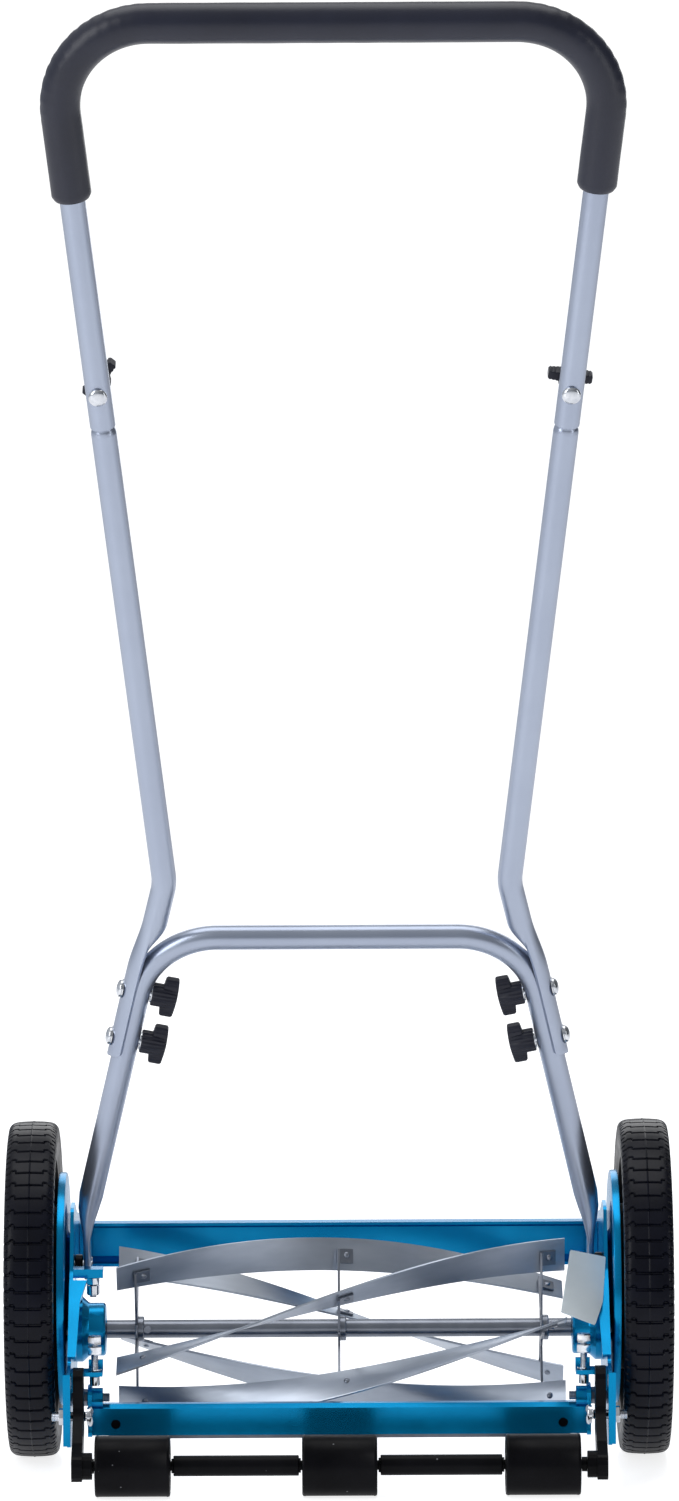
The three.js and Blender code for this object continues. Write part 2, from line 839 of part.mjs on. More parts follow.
function upperTube() {
  const path = topPath(JOINT_Z);
  const bore = roundTube(withLongerEnds(path), TUBE_R - WALL);
  return cut(roundTube(path, TUBE_R), bore, jointHole(1), jointHole(-1));
}

function foamGrip() {
  const path = topPath(FOAM_END_Z);
  return cut(roundTube(path, FOAM_R), roundTube(withLongerEnds(path), TUBE_R + GAP));
}

function kneePath() {
  return bentPath(
    [
      [upperLegX(JOINT_Z - 4), JOINT_Z - 4],
      [upperLegX(368), 368],
      [lowerLegX(268), 268],
      [lowerLegX(CRESCENT_END_Z), CRESCENT_END_Z],
    ],
    48,
    5,
  );
}

// Round tube above, squeezed to a saddle round the lower leg below.
function middleTube() {
  const [innerR, outerR] = [TUBE_R + GAP + 0.1, TUBE_R + 3.6];
  const wrap = 0.86;
  const outerWrap = wrap / (1 - 4 / TUBE_SIDES);
  const [roundZ, flatZ] = [330, 285];
  const section = (t, p) => {
    const share = THREE.MathUtils.smoothstep(roundZ - p.y, 0, roundZ - flatZ);
    const outside = Math.cos(t) < -1e-9;
    const phi = outside ? (Math.PI - t) * outerWrap : t * wrap;
    const r = outside ? outerR : innerR;
    const saddle = [-r * Math.cos(phi), r * Math.sin(phi)];
    const round = [TUBE_R * Math.cos(t), TUBE_R * Math.sin(t)];
    return [0, 1].map((k) => round[k] * (1 - share) + saddle[k] * share);
  };
  const path = refined(kneePath(), 20, 210, 400);
  const outer = loft(ringsAlong(path, section));
  const neckTop = JOINT_Z + NECK_LENGTH;
  const neckR = TUBE_R - WALL - GAP;
  const neckPath = [
    [JOINT_Z - 30, TUBE_R - 0.4],
    [JOINT_Z - 4.1, TUBE_R - 0.4],
    [JOINT_Z - 0.5, neckR],
    [neckTop, neckR],
  ];
  const neck = loft(
    neckPath.map(([z, r]) =>
      ringsAlong(
        [new THREE.Vector2(upperLegX(z), z), new THREE.Vector2(upperLegX(z + 1), z + 1)],
        (t) => [r * Math.cos(t), r * Math.sin(t)],
      )[0],
    ),
  );
  const boreTop = new THREE.Vector2(upperLegX(neckTop + EXTRA), neckTop + EXTRA);
  const boreStart = new THREE.Vector2(upperLegX(JOINT_Z - 8), JOINT_Z - 8);
  const borePath = [boreStart, ...kneePath().filter((p) => p.y > roundZ + 8 && p.y < boreStart.y)];
  const neckBore = roundTube([boreTop, ...borePath.slice(0, 1)], neckR - WALL);
  const bore = roundTube(borePath, TUBE_R - WALL);
  const holes = Object.values(CLAMP_Z).map((z) => clampHole(z));
  return cut(join(outer, neck), bore, neckBore, jointHole(1), ...holes);
}

// Adds points along the straight stretches between two heights, one each step.
function refined(path, step, lowZ, highZ) {
  const fine = [path[0]];
  for (let i = 1; i < path.length; i += 1) {
    const [a, b] = [path[i - 1], path[i]];
    const inside = Math.min(a.y, b.y) < highZ && Math.max(a.y, b.y) > lowZ;
    const parts = inside ? Math.max(1, Math.round(Math.min(a.distanceTo(b), 90) / step)) : 1;
    for (let k = 1; k <= parts; k += 1) fine.push(a.clone().lerp(b, k / parts));
  }
  return fine;
}

function clampHole(z) {
  const hole = rod(CLAMP_HOLE_R, -30, 30, 0, 0, 8);
  return acrossLeg(hole, lowerLegX(z), z, LEG_SLOPE);
}

function lowerTube() {
  const footX = 209;
  const flatTop = 70;
  const corner = [lowerLegX(CROSS_Z), CROSS_Z];
  const legPath = (side) =>
    [
      [footX, 0],
      [footX, 26],
      [footX - 0.6, 40],
      [lowerLegX(56) - 0.4, 56],
      [lowerLegX(flatTop), flatTop],
    ].map(([x, z]) => [side * x, z]);
  const straight = bentPath(
    [legPath(1).at(-1), corner, [-corner[0], CROSS_Z], legPath(-1).at(-1)],
    CROSS_BEND,
  );
  const path = [
    ...legPath(1).slice(0, -1).map((p) => new THREE.Vector2(...p)),
    ...straight,
    ...legPath(-1).slice(0, -1).reverse().map((p) => new THREE.Vector2(...p)),
  ];
  const section = (t, p) => {
    const share = THREE.MathUtils.smoothstep(flatTop - p.y, 0, flatTop - 24);
    const [halfThick, halfWide] = [
      THREE.MathUtils.lerp(TUBE_R, 3, share),
      THREE.MathUtils.lerp(TUBE_R, 12.5, share),
    ];
    return [halfThick * Math.cos(t), halfWide * Math.sin(t)];
  };
  const body = loft(ringsAlong(path, section));
  const end = plateX(circleShape(12.4), -3, 3);
  const ends = [-1, 1].map((side) => end.clone().translate(side * footX, 0, 0));
  const bore = roundTube(straight, TUBE_R - WALL);
  const clampHoles = Object.values(CLAMP_Z).flatMap((z) => {
    const hole = clampHole(z);
    return [hole, mirrored(hole)];
  });
  const studHoles = [-1, 1].map((side) =>
    rod(4 + 2 * GAP, -8, 8).translate(side * footX, 0, 0));
  return cut(join(body, ...ends), bore, ...clampHoles, ...studHoles);
}

function circleShape(radius) {
  return new THREE.Shape().absarc(0, 0, radius, 0, 2 * Math.PI);
}

// Domed bolt lying along X, from its head at headX to its tip at tipX.
function domedBolt(headX, tipX) {
  const [thread, head] = [CLAMP_BOLT_R, 7.2];
  const profile = [
    [0, headX],
    [4, headX + 0.7],
    [head, headX + 3.2],
    [head, headX + 4],
    [thread, headX + 4],
    [thread, tipX],
    [0, tipX],
  ];
  return turned(profile, 0, 0, 8);
}

function clampBolt(z) {
  const bolt = domedBolt(-18.1, 26).rotateY(Math.PI);
  return acrossLeg(bolt, lowerLegX(z), z, LEG_SLOPE);
}

// Hub and two wings, threaded on a bolt that runs along X; the hub starts at x = 0.
function knob() {
  const hub = turned([[0, 0], [9.6, 0], [9.6, 12], [8, 20], [0, 20]], 0, 0, 12);
  const wing = new THREE.Shape();
  wing.moveTo(8, -17);
  wing.lineTo(18.4, -17);
  wing.quadraticCurveTo(21.5, 0, 18.4, 17);
  wing.lineTo(8, 17);
  wing.quadraticCurveTo(7, 0, 8, -17);
  const wings = new THREE.ExtrudeGeometry(wing, {
    depth: 7,
    bevelEnabled: false,
    curveSegments: 4,
  });
  wings.translate(0, 0, -3.5).rotateX(Math.PI / 2);
  const bore = rod(3.4, -EXTRA, 17, 0, 0, 8);
  return cut(join(hub, wings), bore);
}

function clampKnob(z) {
  const piece = knob().rotateZ(Math.PI).translate(-(TUBE_R + 1.2), 0, 0);
  return acrossLeg(piece, lowerLegX(z), z, LEG_SLOPE);
}

function jointBolt() {
  const bolt = domedBolt(-TUBE_R - 4.6, 26).rotateZ(Math.PI / 2);
  return bolt.translate(upperLegX(JOINT_BOLT_Z), 0, JOINT_BOLT_Z);
}

function jointKnob(turn) {
  const piece = knob().rotateX(turn).translate(TUBE_R + 0.8, 0, 0).rotateZ(Math.PI / 2);
  return piece.translate(upperLegX(JOINT_BOLT_Z), 0, JOINT_BOLT_Z);
}

// ---- assembly -------------------------------------------------------------

const finish = {
  tubePaint: [0xb4c2d3, 0.35, 0.6],
  foam: [0x353a48, 0.95, 0],
  chrome: [0xd8dde2, 0.15, 1],
  plastic: [0x15161a, 0.4, 0],
  bluePaint: [0x0a78b8, 0.3, 0.1],
  blade: [0x8f979f, 0.35, 0.9],
  steel: [0x9aa0a8, 0.3, 0.9],
  rubber: [0x24252a, 0.8, 0],
  guard: [0xd7e3e8, 0.5, 0],
};

const mower = new THREE.Group();
const handle = new THREE.Group();
handle.position.set(0, PIVOT.y, PIVOT.z);
handle.rotation.x = LEAN;
mower.add(handle);

function mirrored(geometry) {
  return flipped(geometry.clone().scale(-1, 1, 1));
}

function add(name, geometry, look, parent = mower) {
  const [color, roughness, metalness] = finish[look];
  const material = new THREE.MeshStandardMaterial({ color, roughness, metalness });
  const mesh = new THREE.Mesh(geometry, material);
  mesh.name = name;
  parent.add(mesh);
}

function addPair(name, geometry, look, parent = mower) {
  add(`${name}_right`, geometry, look, parent);
  add(`${name}_left`, mirrored(geometry), look, parent);
}

addPair("tyre", tyre(), "rubber");
addPair("wheel", wheel(), "plastic");
addPair("axle_stud", axleStud(), "chrome");
addPair("dust_cover", dustCover(), "bluePaint");
addPair("drive_pinion", pinion(), "steel");
addPair("side_plate", sidePlate(), "bluePaint");
addPair("bearing_housing", bearingHousing(), "bluePaint");
addPair("drive_pawl", pawl(), "steel");
addPair("handle_stud", handleStud(), "chrome");
addPair("bracket_bolt", bracketBolt(), "chrome");
addPair("bed_pivot_bolt", bedPivotBolt(), "steel");
addPair("bed_adjuster", adjusterScrew(), "chrome");
addPair("roller_bracket", rollerBracket(), "plastic");

add("front_tie_bar", frontTieBar(), "bluePaint");
add("bed_bar", bedBar(), "bluePaint");
add("bed_knife", bedKnife(), "steel");
add("reel_end_guard", reelEndGuard(), "guard");

add("reel_shaft", reelShaft(), "steel");
for (let k = 0; k < BLADE_COUNT; k += 1) add(`reel_blade_${k + 1}`, blade(k), "blade");
for (const [place, x] of [["left", -SPIDER_X], ["middle", 0], ["right", SPIDER_X]]) {
  add(`reel_spider_${place}`, spider(x), "steel");
  add(`roller_${place}`, roller(ROLLER_X[place]), "plastic");
}
add("roller_axle", rollerAxle(), "plastic");

add("upper_handle_tube", upperTube(), "tubePaint", handle);
add("foam_grip", foamGrip(), "foam", handle);
add("lower_handle_tube", lowerTube(), "tubePaint", handle);
addPair("middle_tube", middleTube(), "tubePaint", handle);
addPair("joint_bolt", jointBolt(), "chrome", handle);
add("joint_knob_right", jointKnob(deg(8)), "plastic", handle);
add("joint_knob_left", mirrored(jointKnob(deg(50))), "plastic", handle);
for (const [level, z] of Object.entries(CLAMP_Z)) {
  addPair(`clamp_bolt_${level}`, clampBolt(z), "chrome", handle);
  addPair(`clamp_knob_${level}`, clampKnob(z), "plastic", handle);
}

// The origin goes to the middle of the footprint, on the ground.
mower.updateMatrixWorld(true);
const extent = new THREE.Box3().setFromObject(mower, true);
mower.position.y = -(extent.min.y + extent.max.y) / 2;

export default mower;
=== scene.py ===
import json
import math

import bmesh
import bpy
from mathutils import Matrix, Vector, noise


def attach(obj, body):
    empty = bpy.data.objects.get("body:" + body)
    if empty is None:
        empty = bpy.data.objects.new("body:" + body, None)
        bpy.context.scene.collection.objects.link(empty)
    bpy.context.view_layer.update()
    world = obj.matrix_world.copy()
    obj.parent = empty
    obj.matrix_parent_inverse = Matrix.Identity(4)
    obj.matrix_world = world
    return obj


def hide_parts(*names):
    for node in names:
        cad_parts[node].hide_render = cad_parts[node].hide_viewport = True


# The looks of a push reel mower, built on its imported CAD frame. Blender works in metres.
# Pieces are drawn in millimetres, with Y measured from the wheel axle and Z from the ground,
# and mower_frame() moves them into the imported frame.

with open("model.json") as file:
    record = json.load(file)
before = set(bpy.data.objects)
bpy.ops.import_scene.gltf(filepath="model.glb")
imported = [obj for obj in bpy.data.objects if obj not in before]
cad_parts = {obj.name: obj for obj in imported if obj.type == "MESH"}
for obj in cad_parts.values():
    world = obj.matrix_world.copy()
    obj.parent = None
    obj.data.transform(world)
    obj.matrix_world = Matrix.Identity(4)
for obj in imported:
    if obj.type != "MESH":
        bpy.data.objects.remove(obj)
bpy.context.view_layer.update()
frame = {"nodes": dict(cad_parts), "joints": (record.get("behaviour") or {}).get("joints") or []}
MM = 0.001
JOINTS = {j["name"]: [value / MM for value in j.get("pos_m", (0, 0, 0))] for j in frame["joints"]}
AXLE_SHIFT = JOINTS["left_wheel_spin"][1]
SIDES = {"left": -1, "right": 1}

# Wheels and gears
WHEEL_R = 140
AXLE = Vector((0, 0, WHEEL_R))
WEB_X = 261  # outer face of the wheel's disc
RIM_X = 236  # inner edge of the rim
SPOKES = 10
TYRE_INNER_R = 112
TYRE_X = 254  # middle of the tyre
TYRE_WIDTH = 41
TREAD_PITCHES = 65
TREAD_STEPS = 14  # mesh steps in one pitch of the tread
GROOVE_DEPTH = 1.6
SIDE_RIBS_R = 128  # where the ribs on the tyre's side wall begin
GEAR_X = (234.5, 249.5)  # the gears' two faces
RING_TEETH = 40
MESH_ANGLE = math.radians(224.4)  # where the pinion meets the ring gear, from +Y towards +Z

# Reel
REEL = Vector((0, JOINTS["reel_spin"][1] - AXLE_SHIFT, JOINTS["reel_spin"][2]))
REEL_R = 75.2
BLADE_WIDTH = 27.2
BLADE_THICK = 2
BLADE_LEFT_X = -183.5
BLADE_LENGTH = 371
BLADE_COUNT = 5
BLADE_START = math.radians(200)
BLADE_TWIST = math.radians(-107.6)
SHAFT_R = 7.5
JOURNAL_R = 5
SPIDER_X = 168

# Frame
GAP = 0.3  # between neighbouring pieces
PLATE_X = 219.5  # inner face of the side plate
PLATE_OUT_X = PLATE_X + 3
HOUSING_X = 193.5
DISH_R = 97
DISH_DEPTH = 3.4
DISH_SHEET = 1.5
BRACKET_BOLT = Vector((0, -137, 57))
BED_PIVOT = Vector((0, -100, 66))
BED_HOLE = Vector((184, 0, 44))
ADJUSTER = Vector((200.7, -112, 0))
STOP_BOLT = Vector((203.5, -50, 0))

# Handle, in its own plane: x outwards, z along the tubes from the pivot
PIVOT = Vector((0, JOINTS["handle_pivot"][1] - AXLE_SHIFT, JOINTS["handle_pivot"][2]))
LEAN = math.radians(24)
TUBE_R = 10
LEG_FOOT_X = 219.6
LEG_SLOPE = -0.2159
CROSS_Z = 316.5
CROSS_BEND = 67
UPPER_FOOT_X = 102.1
UPPER_SLOPE = 0.1008
TOP_Z = 1121.7
TOP_BEND = 68
JOINT_Z = 781
JOINT_BOLT_Z = 811
CLAMP_Z = {"upper": 266, "lower": 221}
CRESCENT_END_Z = 205
FOAM_R = 15.6
FOAM_END_Z = {"left": 977.5, "right": 984}
FOOT_X = 209

# Rollers
ROLLER = Vector((0, -185, 25))
ROLLER_HALF = 30.5
ROLLER_X = {"left": -168, "middle": 0, "right": 165}
ROLLER_AXLE_R = 4

# The photographer's place, in metres and degrees
CAMERA_DISTANCE = 6.0  # from the wheels' axle, behind the mower
CAMERA_HEIGHT = 1.15
CAMERA_DOWN = 5.331
CAMERA_ROLL = -0.27
CAMERA_LENS = 174.24  # in millimetres, for a picture 36 mm high
CAMERA_SHIFT = 0.0021


# ---- mesh helpers -----------------------------------------------------------


def mower_frame():
    """Millimetres from the wheel axle and the ground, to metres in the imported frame."""
    return Matrix.Scale(MM, 4) @ Matrix.Translation((0, AXLE_SHIFT, 0))


def handle_frame():
    """The handle's own plane, to the mower's millimetres."""
    return Matrix.Translation(PIVOT) @ Matrix.Rotation(LEAN, 4, "X")


def moved(shape, matrix):
    vertices, faces = shape
    return [matrix @ v for v in vertices], faces


def mirrored(shape):
    vertices, faces = shape
    return [Vector((-v.x, v.y, v.z)) for v in vertices], [tuple(reversed(f)) for f in faces]


def sided(shape, side):
    """A shape drawn for the right side, mirrored when the side is the left one."""
    return mirrored(shape) if side < 0 else shape


def merged(*shapes):
    vertices, faces = [], []
    for some_vertices, some_faces in shapes:
        start = len(vertices)
        vertices.extend(some_vertices)
        faces.extend(tuple(start + i for i in f) for f in some_faces)
    return vertices, faces


def skin(rings, capped=True, ring_closed=True, chain_closed=False):
    """A surface through rings of points that all have the same number of points."""
    count = len(rings[0])
    faces = []
    last_ring = len(rings) if chain_closed else len(rings) - 1
    last_side = count if ring_closed else count - 1
    for r in range(last_ring):
        here, ahead = r * count, (r + 1) % len(rings) * count
        for i in range(last_side):
            j = (i + 1) % count
            faces.append((here + i, here + j, ahead + j, ahead + i))
    if capped:
        faces.append(tuple(range(count)))
        faces.append(tuple((len(rings) - 1) * count + i for i in range(count)))
    return [Vector(p) for ring in rings for p in ring], faces


def turned(profile, sides=48, flutes=0, flute_depth=0):
    """A profile of (radius, x) turned about the X axis. A closed ring starts and ends alike."""
    ring = profile[0] == profile[-1]
    points = profile[:-1] if ring else profile
    rings = []
    for radius, x in points:
        row = []
        for k in range(sides):
            a = 2 * math.pi * k / sides
            r = max(radius - flute_depth * (0.5 - 0.5 * math.cos(flutes * a)), 0)
            row.append((x, r * math.cos(a), r * math.sin(a)))
        rings.append(row)
    return skin(rings, capped=False, chain_closed=ring)


def washer(x0, x1, bore, radius):
    """A flat ring across the X axis."""
    return turned([(bore, x0), (radius, x0), (radius, x1), (bore, x1), (bore, x0)], 40)


def extruded(outline, x0, x1):
    """A flat outline of (y, z), thick from x0 to x1."""
    return skin([[(x, y, z) for y, z in outline] for x in (x0, x1)])


def bevelled(obj, width, angle=35, segments=2):
    bevel = obj.modifiers.new("soft_edges", "BEVEL")
    bevel.width = width * MM
    bevel.segments = segments
    bevel.limit_method = "ANGLE"
    bevel.angle_limit = math.radians(angle)
    bevel.harden_normals = True
    return obj


def packed_mesh(name, shape):
    """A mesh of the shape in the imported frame, with its seams joined and its faces turned outwards."""
    vertices, faces = moved(shape, mower_frame())
    mesh = bpy.data.meshes.new(name)
    mesh.from_pydata([tuple(v) for v in vertices], [], faces)
    work = bmesh.new()
    work.from_mesh(mesh)
    bmesh.ops.remove_doubles(work, verts=work.verts, dist=1e-6)
    bmesh.ops.recalc_face_normals(work, faces=work.faces)
    work.to_mesh(mesh)
    work.free()
    return mesh


def drilled(obj, x0, x1, centre, radius):
    """Cuts a round hole through a piece, between two places along X."""
    reach = 1 if x1 > x0 else -1
    wall = turned([(0, x0 - reach), (radius, x0 - reach), (radius, x1 + reach), (0, x1 + reach)], 40)
    drill = bpy.data.objects.new("drill", packed_mesh("drill", moved(wall, Matrix.Translation(centre))))
    bpy.context.scene.collection.objects.link(drill)
    hole = obj.modifiers.new("hole", "BOOLEAN")
    hole.object = drill
    bpy.context.view_layer.update()
    shown = obj.evaluated_get(bpy.context.evaluated_depsgraph_get())
    cut_mesh = bpy.data.meshes.new_from_object(shown)
    obj.modifiers.remove(hole)
    obj.data = cut_mesh
    bpy.data.objects.remove(drill)


def piece(name, shape, look, body, *nodes, sharp=35, edge=0):
    """A shown piece that rides on a body and stands for the named CAD nodes."""
    mesh = packed_mesh(name, shape)
    mesh.polygons.foreach_set("use_smooth", [True] * len(mesh.polygons))
    mesh.set_sharp_from_angle(angle=math.radians(sharp))
    mesh.materials.append(LOOKS[look]["material"])
    obj = bpy.data.objects.new(name, mesh)
    bpy.context.scene.collection.objects.link(obj)
    if edge:
        bevelled(obj, edge)
    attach(obj, body)
    if nodes:
        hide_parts(*nodes)
    return obj


def kept(node, look, edge=0):
    """A CAD node that is shown as it is, with a finished material and softened edges."""
    obj = frame["nodes"][node]
    obj.data.materials.clear()
    obj.data.materials.append(LOOKS[look]["material"])
    if edge:
        bevelled(obj, edge)


# ---- materials --------------------------------------------------------------


class Finish:
    """A Principled material with a procedural pattern in the object's own coordinates."""

    def __init__(self, name, roughness, metallic=0.0, stretch=(1, 1, 1)):
        self.material = bpy.data.materials.new(name)
        self.material.use_nodes = True
        tree = self.material.node_tree
        self.nodes, self.links = tree.nodes, tree.links
        self.shader = self.nodes["Principled BSDF"]
        self.set("Metallic", metallic)
        self.set("Roughness", roughness)
        place = self.nodes.new("ShaderNodeTexCoord")
        mapping = self.nodes.new("ShaderNodeMapping")
        mapping.inputs["Scale"].default_value = stretch
        self.links.new(place.outputs["Object"], mapping.inputs["Vector"])
        self.place = mapping.outputs["Vector"]

    def noise(self, scale, detail=4.0, roughness=0.6):
        node = self.nodes.new("ShaderNodeTexNoise")
        node.inputs["Scale"].default_value = scale
        node.inputs["Detail"].default_value = detail
        node.inputs["Roughness"].default_value = roughness
        self.links.new(self.place, node.inputs["Vector"])
        return node.outputs["Fac"]

    def cells(self, scale):
        node = self.nodes.new("ShaderNodeTexVoronoi")
        node.inputs["Scale"].default_value = scale
        self.links.new(self.place, node.inputs["Vector"])
        return node.outputs["Distance"]

    def ramp(self, factor, *stops):
        node = self.nodes.new("ShaderNodeValToRGB")
        elements = node.color_ramp.elements
        while len(elements) < len(stops):
            elements.new(0.5)
        for element, (position, color) in zip(elements, stops):
            element.position = position
            element.color = (*color, 1)
        self.links.new(factor, node.inputs["Fac"])
        return node.outputs["Color"]

    def rough_between(self, factor, low, high):
        node = self.nodes.new("ShaderNodeMapRange")
        node.inputs["To Min"].default_value = low
        node.inputs["To Max"].default_value = high
        self.links.new(factor, node.inputs["Value"])
        self.links.new(node.outputs["Result"], self.shader.inputs["Roughness"])

    def clouded(self, scale, detail, *stops):
        """The base colour varies between the stops in soft clouds."""
        self.color(self.ramp(self.noise(scale, detail), *stops))

    def set(self, socket, value):
        self.shader.inputs[socket].default_value = value

    def color(self, output):
        self.links.new(output, self.shader.inputs["Base Color"])

    def bump(self, factor, strength, distance):
        node = self.nodes.new("ShaderNodeBump")
        node.inputs["Strength"].default_value = strength
        node.inputs["Distance"].default_value = distance * MM
        self.links.new(factor, node.inputs["Height"])
        previous = self.shader.inputs["Normal"]
        if previous.is_linked:
            self.links.new(previous.links[0].from_socket, node.inputs["Normal"])
        self.links.new(node.outputs["Normal"], previous)


def tube_paint():
    """Silver-blue powder coat with a fine grain."""
    finish = Finish("tube_paint", 0.28, 0.85)
    finish.clouded(9, 3, (0.3, (0.40, 0.45, 0.565)), (0.7, (0.45, 0.505, 0.62)))
    finish.rough_between(finish.noise(60), 0.26, 0.32)
    finish.bump(finish.noise(500, 1), 0.05, 0.02)
    return finish


def blue_paint():
    """Glossy enamel with slight orange peel."""
    finish = Finish("blue_paint", 0.24, 0.8)
    finish.clouded(7, 3, (0.3, (0.0, 0.265, 0.56)), (0.7, (0.0, 0.315, 0.65)))
    finish.rough_between(finish.noise(40), 0.16, 0.3)
    finish.bump(finish.noise(260, 2), 0.15, 0.08)
    finish.set("Specular IOR Level", 0.25)
    finish.set("Coat Weight", 0.06)
    finish.set("Coat Roughness", 0.08)
    return finish


def foam():
    """Closed-cell foam: dark slate with a soft shine and fine pores."""
    finish = Finish("foam", 0.36)
    finish.clouded(14, 5, (0.3, (0.010, 0.012, 0.026)), (0.75, (0.017, 0.020, 0.040)))
    finish.bump(finish.noise(90, 6), 0.25, 0.5)
    finish.bump(finish.cells(1100), 0.35, 0.12)
    finish.set("Specular IOR Level", 0.5)
    finish.set("Sheen Weight", 0.05)
    finish.set("Sheen Roughness", 0.4)
    return finish


def tyre_rubber():
    """Moulded hard rubber, nearly black."""
    finish = Finish("tyre_rubber", 0.6)
    finish.clouded(26, 5, (0.35, (0.0015, 0.002, 0.006)), (0.8, (0.005, 0.006, 0.014)))
    finish.rough_between(finish.noise(70), 0.24, 0.42)
    finish.bump(finish.noise(420, 4), 0.3, 0.2)
    finish.set("Specular IOR Level", 0.18)
    return finish


def black_plastic():
    """Moulded black plastic with fine texture and a few specks of dust."""
    finish = Finish("black_plastic", 0.35)
    specks = finish.ramp(finish.cells(60), (0.035, (0.35, 0.36, 0.38)), (0.05, (0, 0, 0)))
    tint = finish.ramp(finish.noise(30, 5), (0.3, (0.002, 0.002, 0.003)), (0.8, (0.006, 0.006, 0.008)))
    add = finish.nodes.new("ShaderNodeMix")
    add.data_type = "RGBA"
    add.blend_type = "ADD"
    add.inputs["Factor"].default_value = 0.45
    finish.links.new(tint, add.inputs[6])
    finish.links.new(specks, add.inputs[7])
    finish.color(add.outputs[2])
    finish.rough_between(finish.noise(50), 0.24, 0.4)
    finish.bump(finish.noise(700, 3), 0.15, 0.08)
    finish.set("Specular IOR Level", 0.09)
    return finish


def knob_plastic():
    """Dark grey moulded plastic for the wing knobs."""
    finish = Finish("knob_plastic", 0.4)
    finish.clouded(30, 5, (0.3, (0.015, 0.016, 0.026)), (0.8, (0.026, 0.028, 0.042)))
    finish.rough_between(finish.noise(50), 0.3, 0.45)
    finish.bump(finish.noise(700, 3), 0.15, 0.08)
    finish.set("Specular IOR Level", 0.25)
    return finish


def chrome():
    """Bright zinc plating with faint clouding."""
    finish = Finish("chrome", 0.16, 1.0)
    finish.clouded(120, 3, (0.3, (0.62, 0.65, 0.70)), (0.7, (0.86, 0.88, 0.92)))
    finish.rough_between(finish.noise(300), 0.1, 0.24)
    finish.bump(finish.noise(500, 3), 0.15, 0.06)
    return finish


def blade_steel():
    """Steel strip, ground along its length, with soft clouds of tone."""
    finish = Finish("blade_steel", 0.3, 0.9, stretch=(0.12, 1, 1))
    finish.clouded(22, 4, (0.3, (0.34, 0.385, 0.46)), (0.72, (0.56, 0.61, 0.69)))
    finish.rough_between(finish.noise(160, 6), 0.26, 0.44)
    finish.bump(finish.noise(900, 3), 0.14, 0.05)
    return finish


def bright_steel():
    """Plain rolled steel for the shaft and spiders."""
    finish = Finish("bright_steel", 0.28, 0.95)
    finish.clouded(45, 4, (0.3, (0.22, 0.24, 0.285)), (0.72, (0.29, 0.315, 0.365)))
    finish.rough_between(finish.noise(90, 5), 0.26, 0.34)
    finish.bump(finish.noise(150, 2), 0.05, 0.03)
    return finish


def frosted_plastic():
    """Milky clear plastic."""
    finish = Finish("frosted_plastic", 0.4)
    finish.clouded(30, 4, (0.3, (0.78, 0.87, 0.92)), (0.7, (0.86, 0.94, 0.98)))
    finish.bump(finish.noise(180, 4), 0.2, 0.1)
    finish.set("Transmission Weight", 0.12)
    finish.set("Coat Weight", 0.3)
    return finish


LOOKS = {
    "tube": {"slot": "tube_paint", "finish": tube_paint},
    "blue": {"slot": "blue_paint", "finish": blue_paint},
    "foam": {"slot": "foam", "finish": foam},
    "tyre": {"slot": "tyre", "finish": tyre_rubber},
    "plastic": {"slot": "black_plastic", "finish": black_plastic},
    "knob": {"slot": "black_plastic", "finish": knob_plastic},
    "chrome": {"slot": "chrome", "finish": chrome},
    "blade": {"slot": "blade_steel", "finish": blade_steel},
    "steel": {"slot": "steel", "finish": bright_steel},
    "frosted": {"slot": "guard_plastic", "finish": frosted_plastic},
}
for look in LOOKS.values():
    look["material"] = look["finish"]().material


# ---- handle -----------------------------------------------------------------


def lower_leg_x(z):
    return LEG_FOOT_X + LEG_SLOPE * z


def upper_leg_x(z):
    return UPPER_FOOT_X + UPPER_SLOPE * z


def smoothstep(share):
    share = min(max(share, 0), 1)
    return share * share * (3 - 2 * share)


def lerp(a, b, share):
    return a + (b - a) * share


def bent_path(corners, radius, steps=20):
    """Points of a flat path through corners (x, z), with an arc at each inner corner."""
    corners = [Vector(c) for c in corners]
    path = [corners[0]]
    for before, here, after in zip(corners, corners[1:], corners[2:]):
        back, on = (before - here).normalized(), (after - here).normalized()
        half = back.angle(on) / 2
        centre = here + (back + on).normalized() * (radius / math.sin(half))
        start = here + back * (radius / math.tan(half)) - centre
        turn = math.pi - 2 * half
        sign = 1 if -back.x * on.y + back.y * on.x > 0 else -1
        for k in range(steps + 1):
            angle = sign * turn * k / steps
            c, s = math.cos(angle), math.sin(angle)
            path.append(centre + Vector((start.x * c - start.y * s, start.x * s + start.y * c)))
    return path + [corners[-1]]


def refined(path, step):
    """The same path with points along its straight stretches."""
    fine = [path[0]]
    for a, b in zip(path, path[1:]):
        parts = max(1, round((b - a).length / step))
        fine.extend(a.lerp(b, k / parts) for k in range(1, parts + 1))
    return fine


def along(path, section, sides=40):
    """Rings of a tube along a flat path. section(angle, point, share) gives (side, normal)."""
    rings = []
    for i, p in enumerate(path):
        ahead, behind = path[min(i + 1, len(path) - 1)], path[max(i - 1, 0)]
        tangent = (ahead - behind).normalized()
        side = Vector((tangent.y, -tangent.x))
        ring = []
        for k in range(sides):
            angle = -math.pi / 2 + 2 * math.pi * k / sides
            u, v = section(angle, p, i / (len(path) - 1))
            ring.append((p.x + side.x * u, v, p.y + side.y * u))
        rings.append(ring)
    return rings


def round_section(radius):
    return lambda angle, p, share: (radius * math.cos(angle), radius * math.sin(angle))


def on_handle(shape):
    return moved(shape, handle_frame())


def top_path(left_end, right_end, steps=24):
    corners = [
        (upper_leg_x(right_end), right_end),
        (upper_leg_x(TOP_Z), TOP_Z),
        (-upper_leg_x(TOP_Z), TOP_Z),
        (-upper_leg_x(left_end), left_end),
    ]
    return bent_path(corners, TOP_BEND, steps)


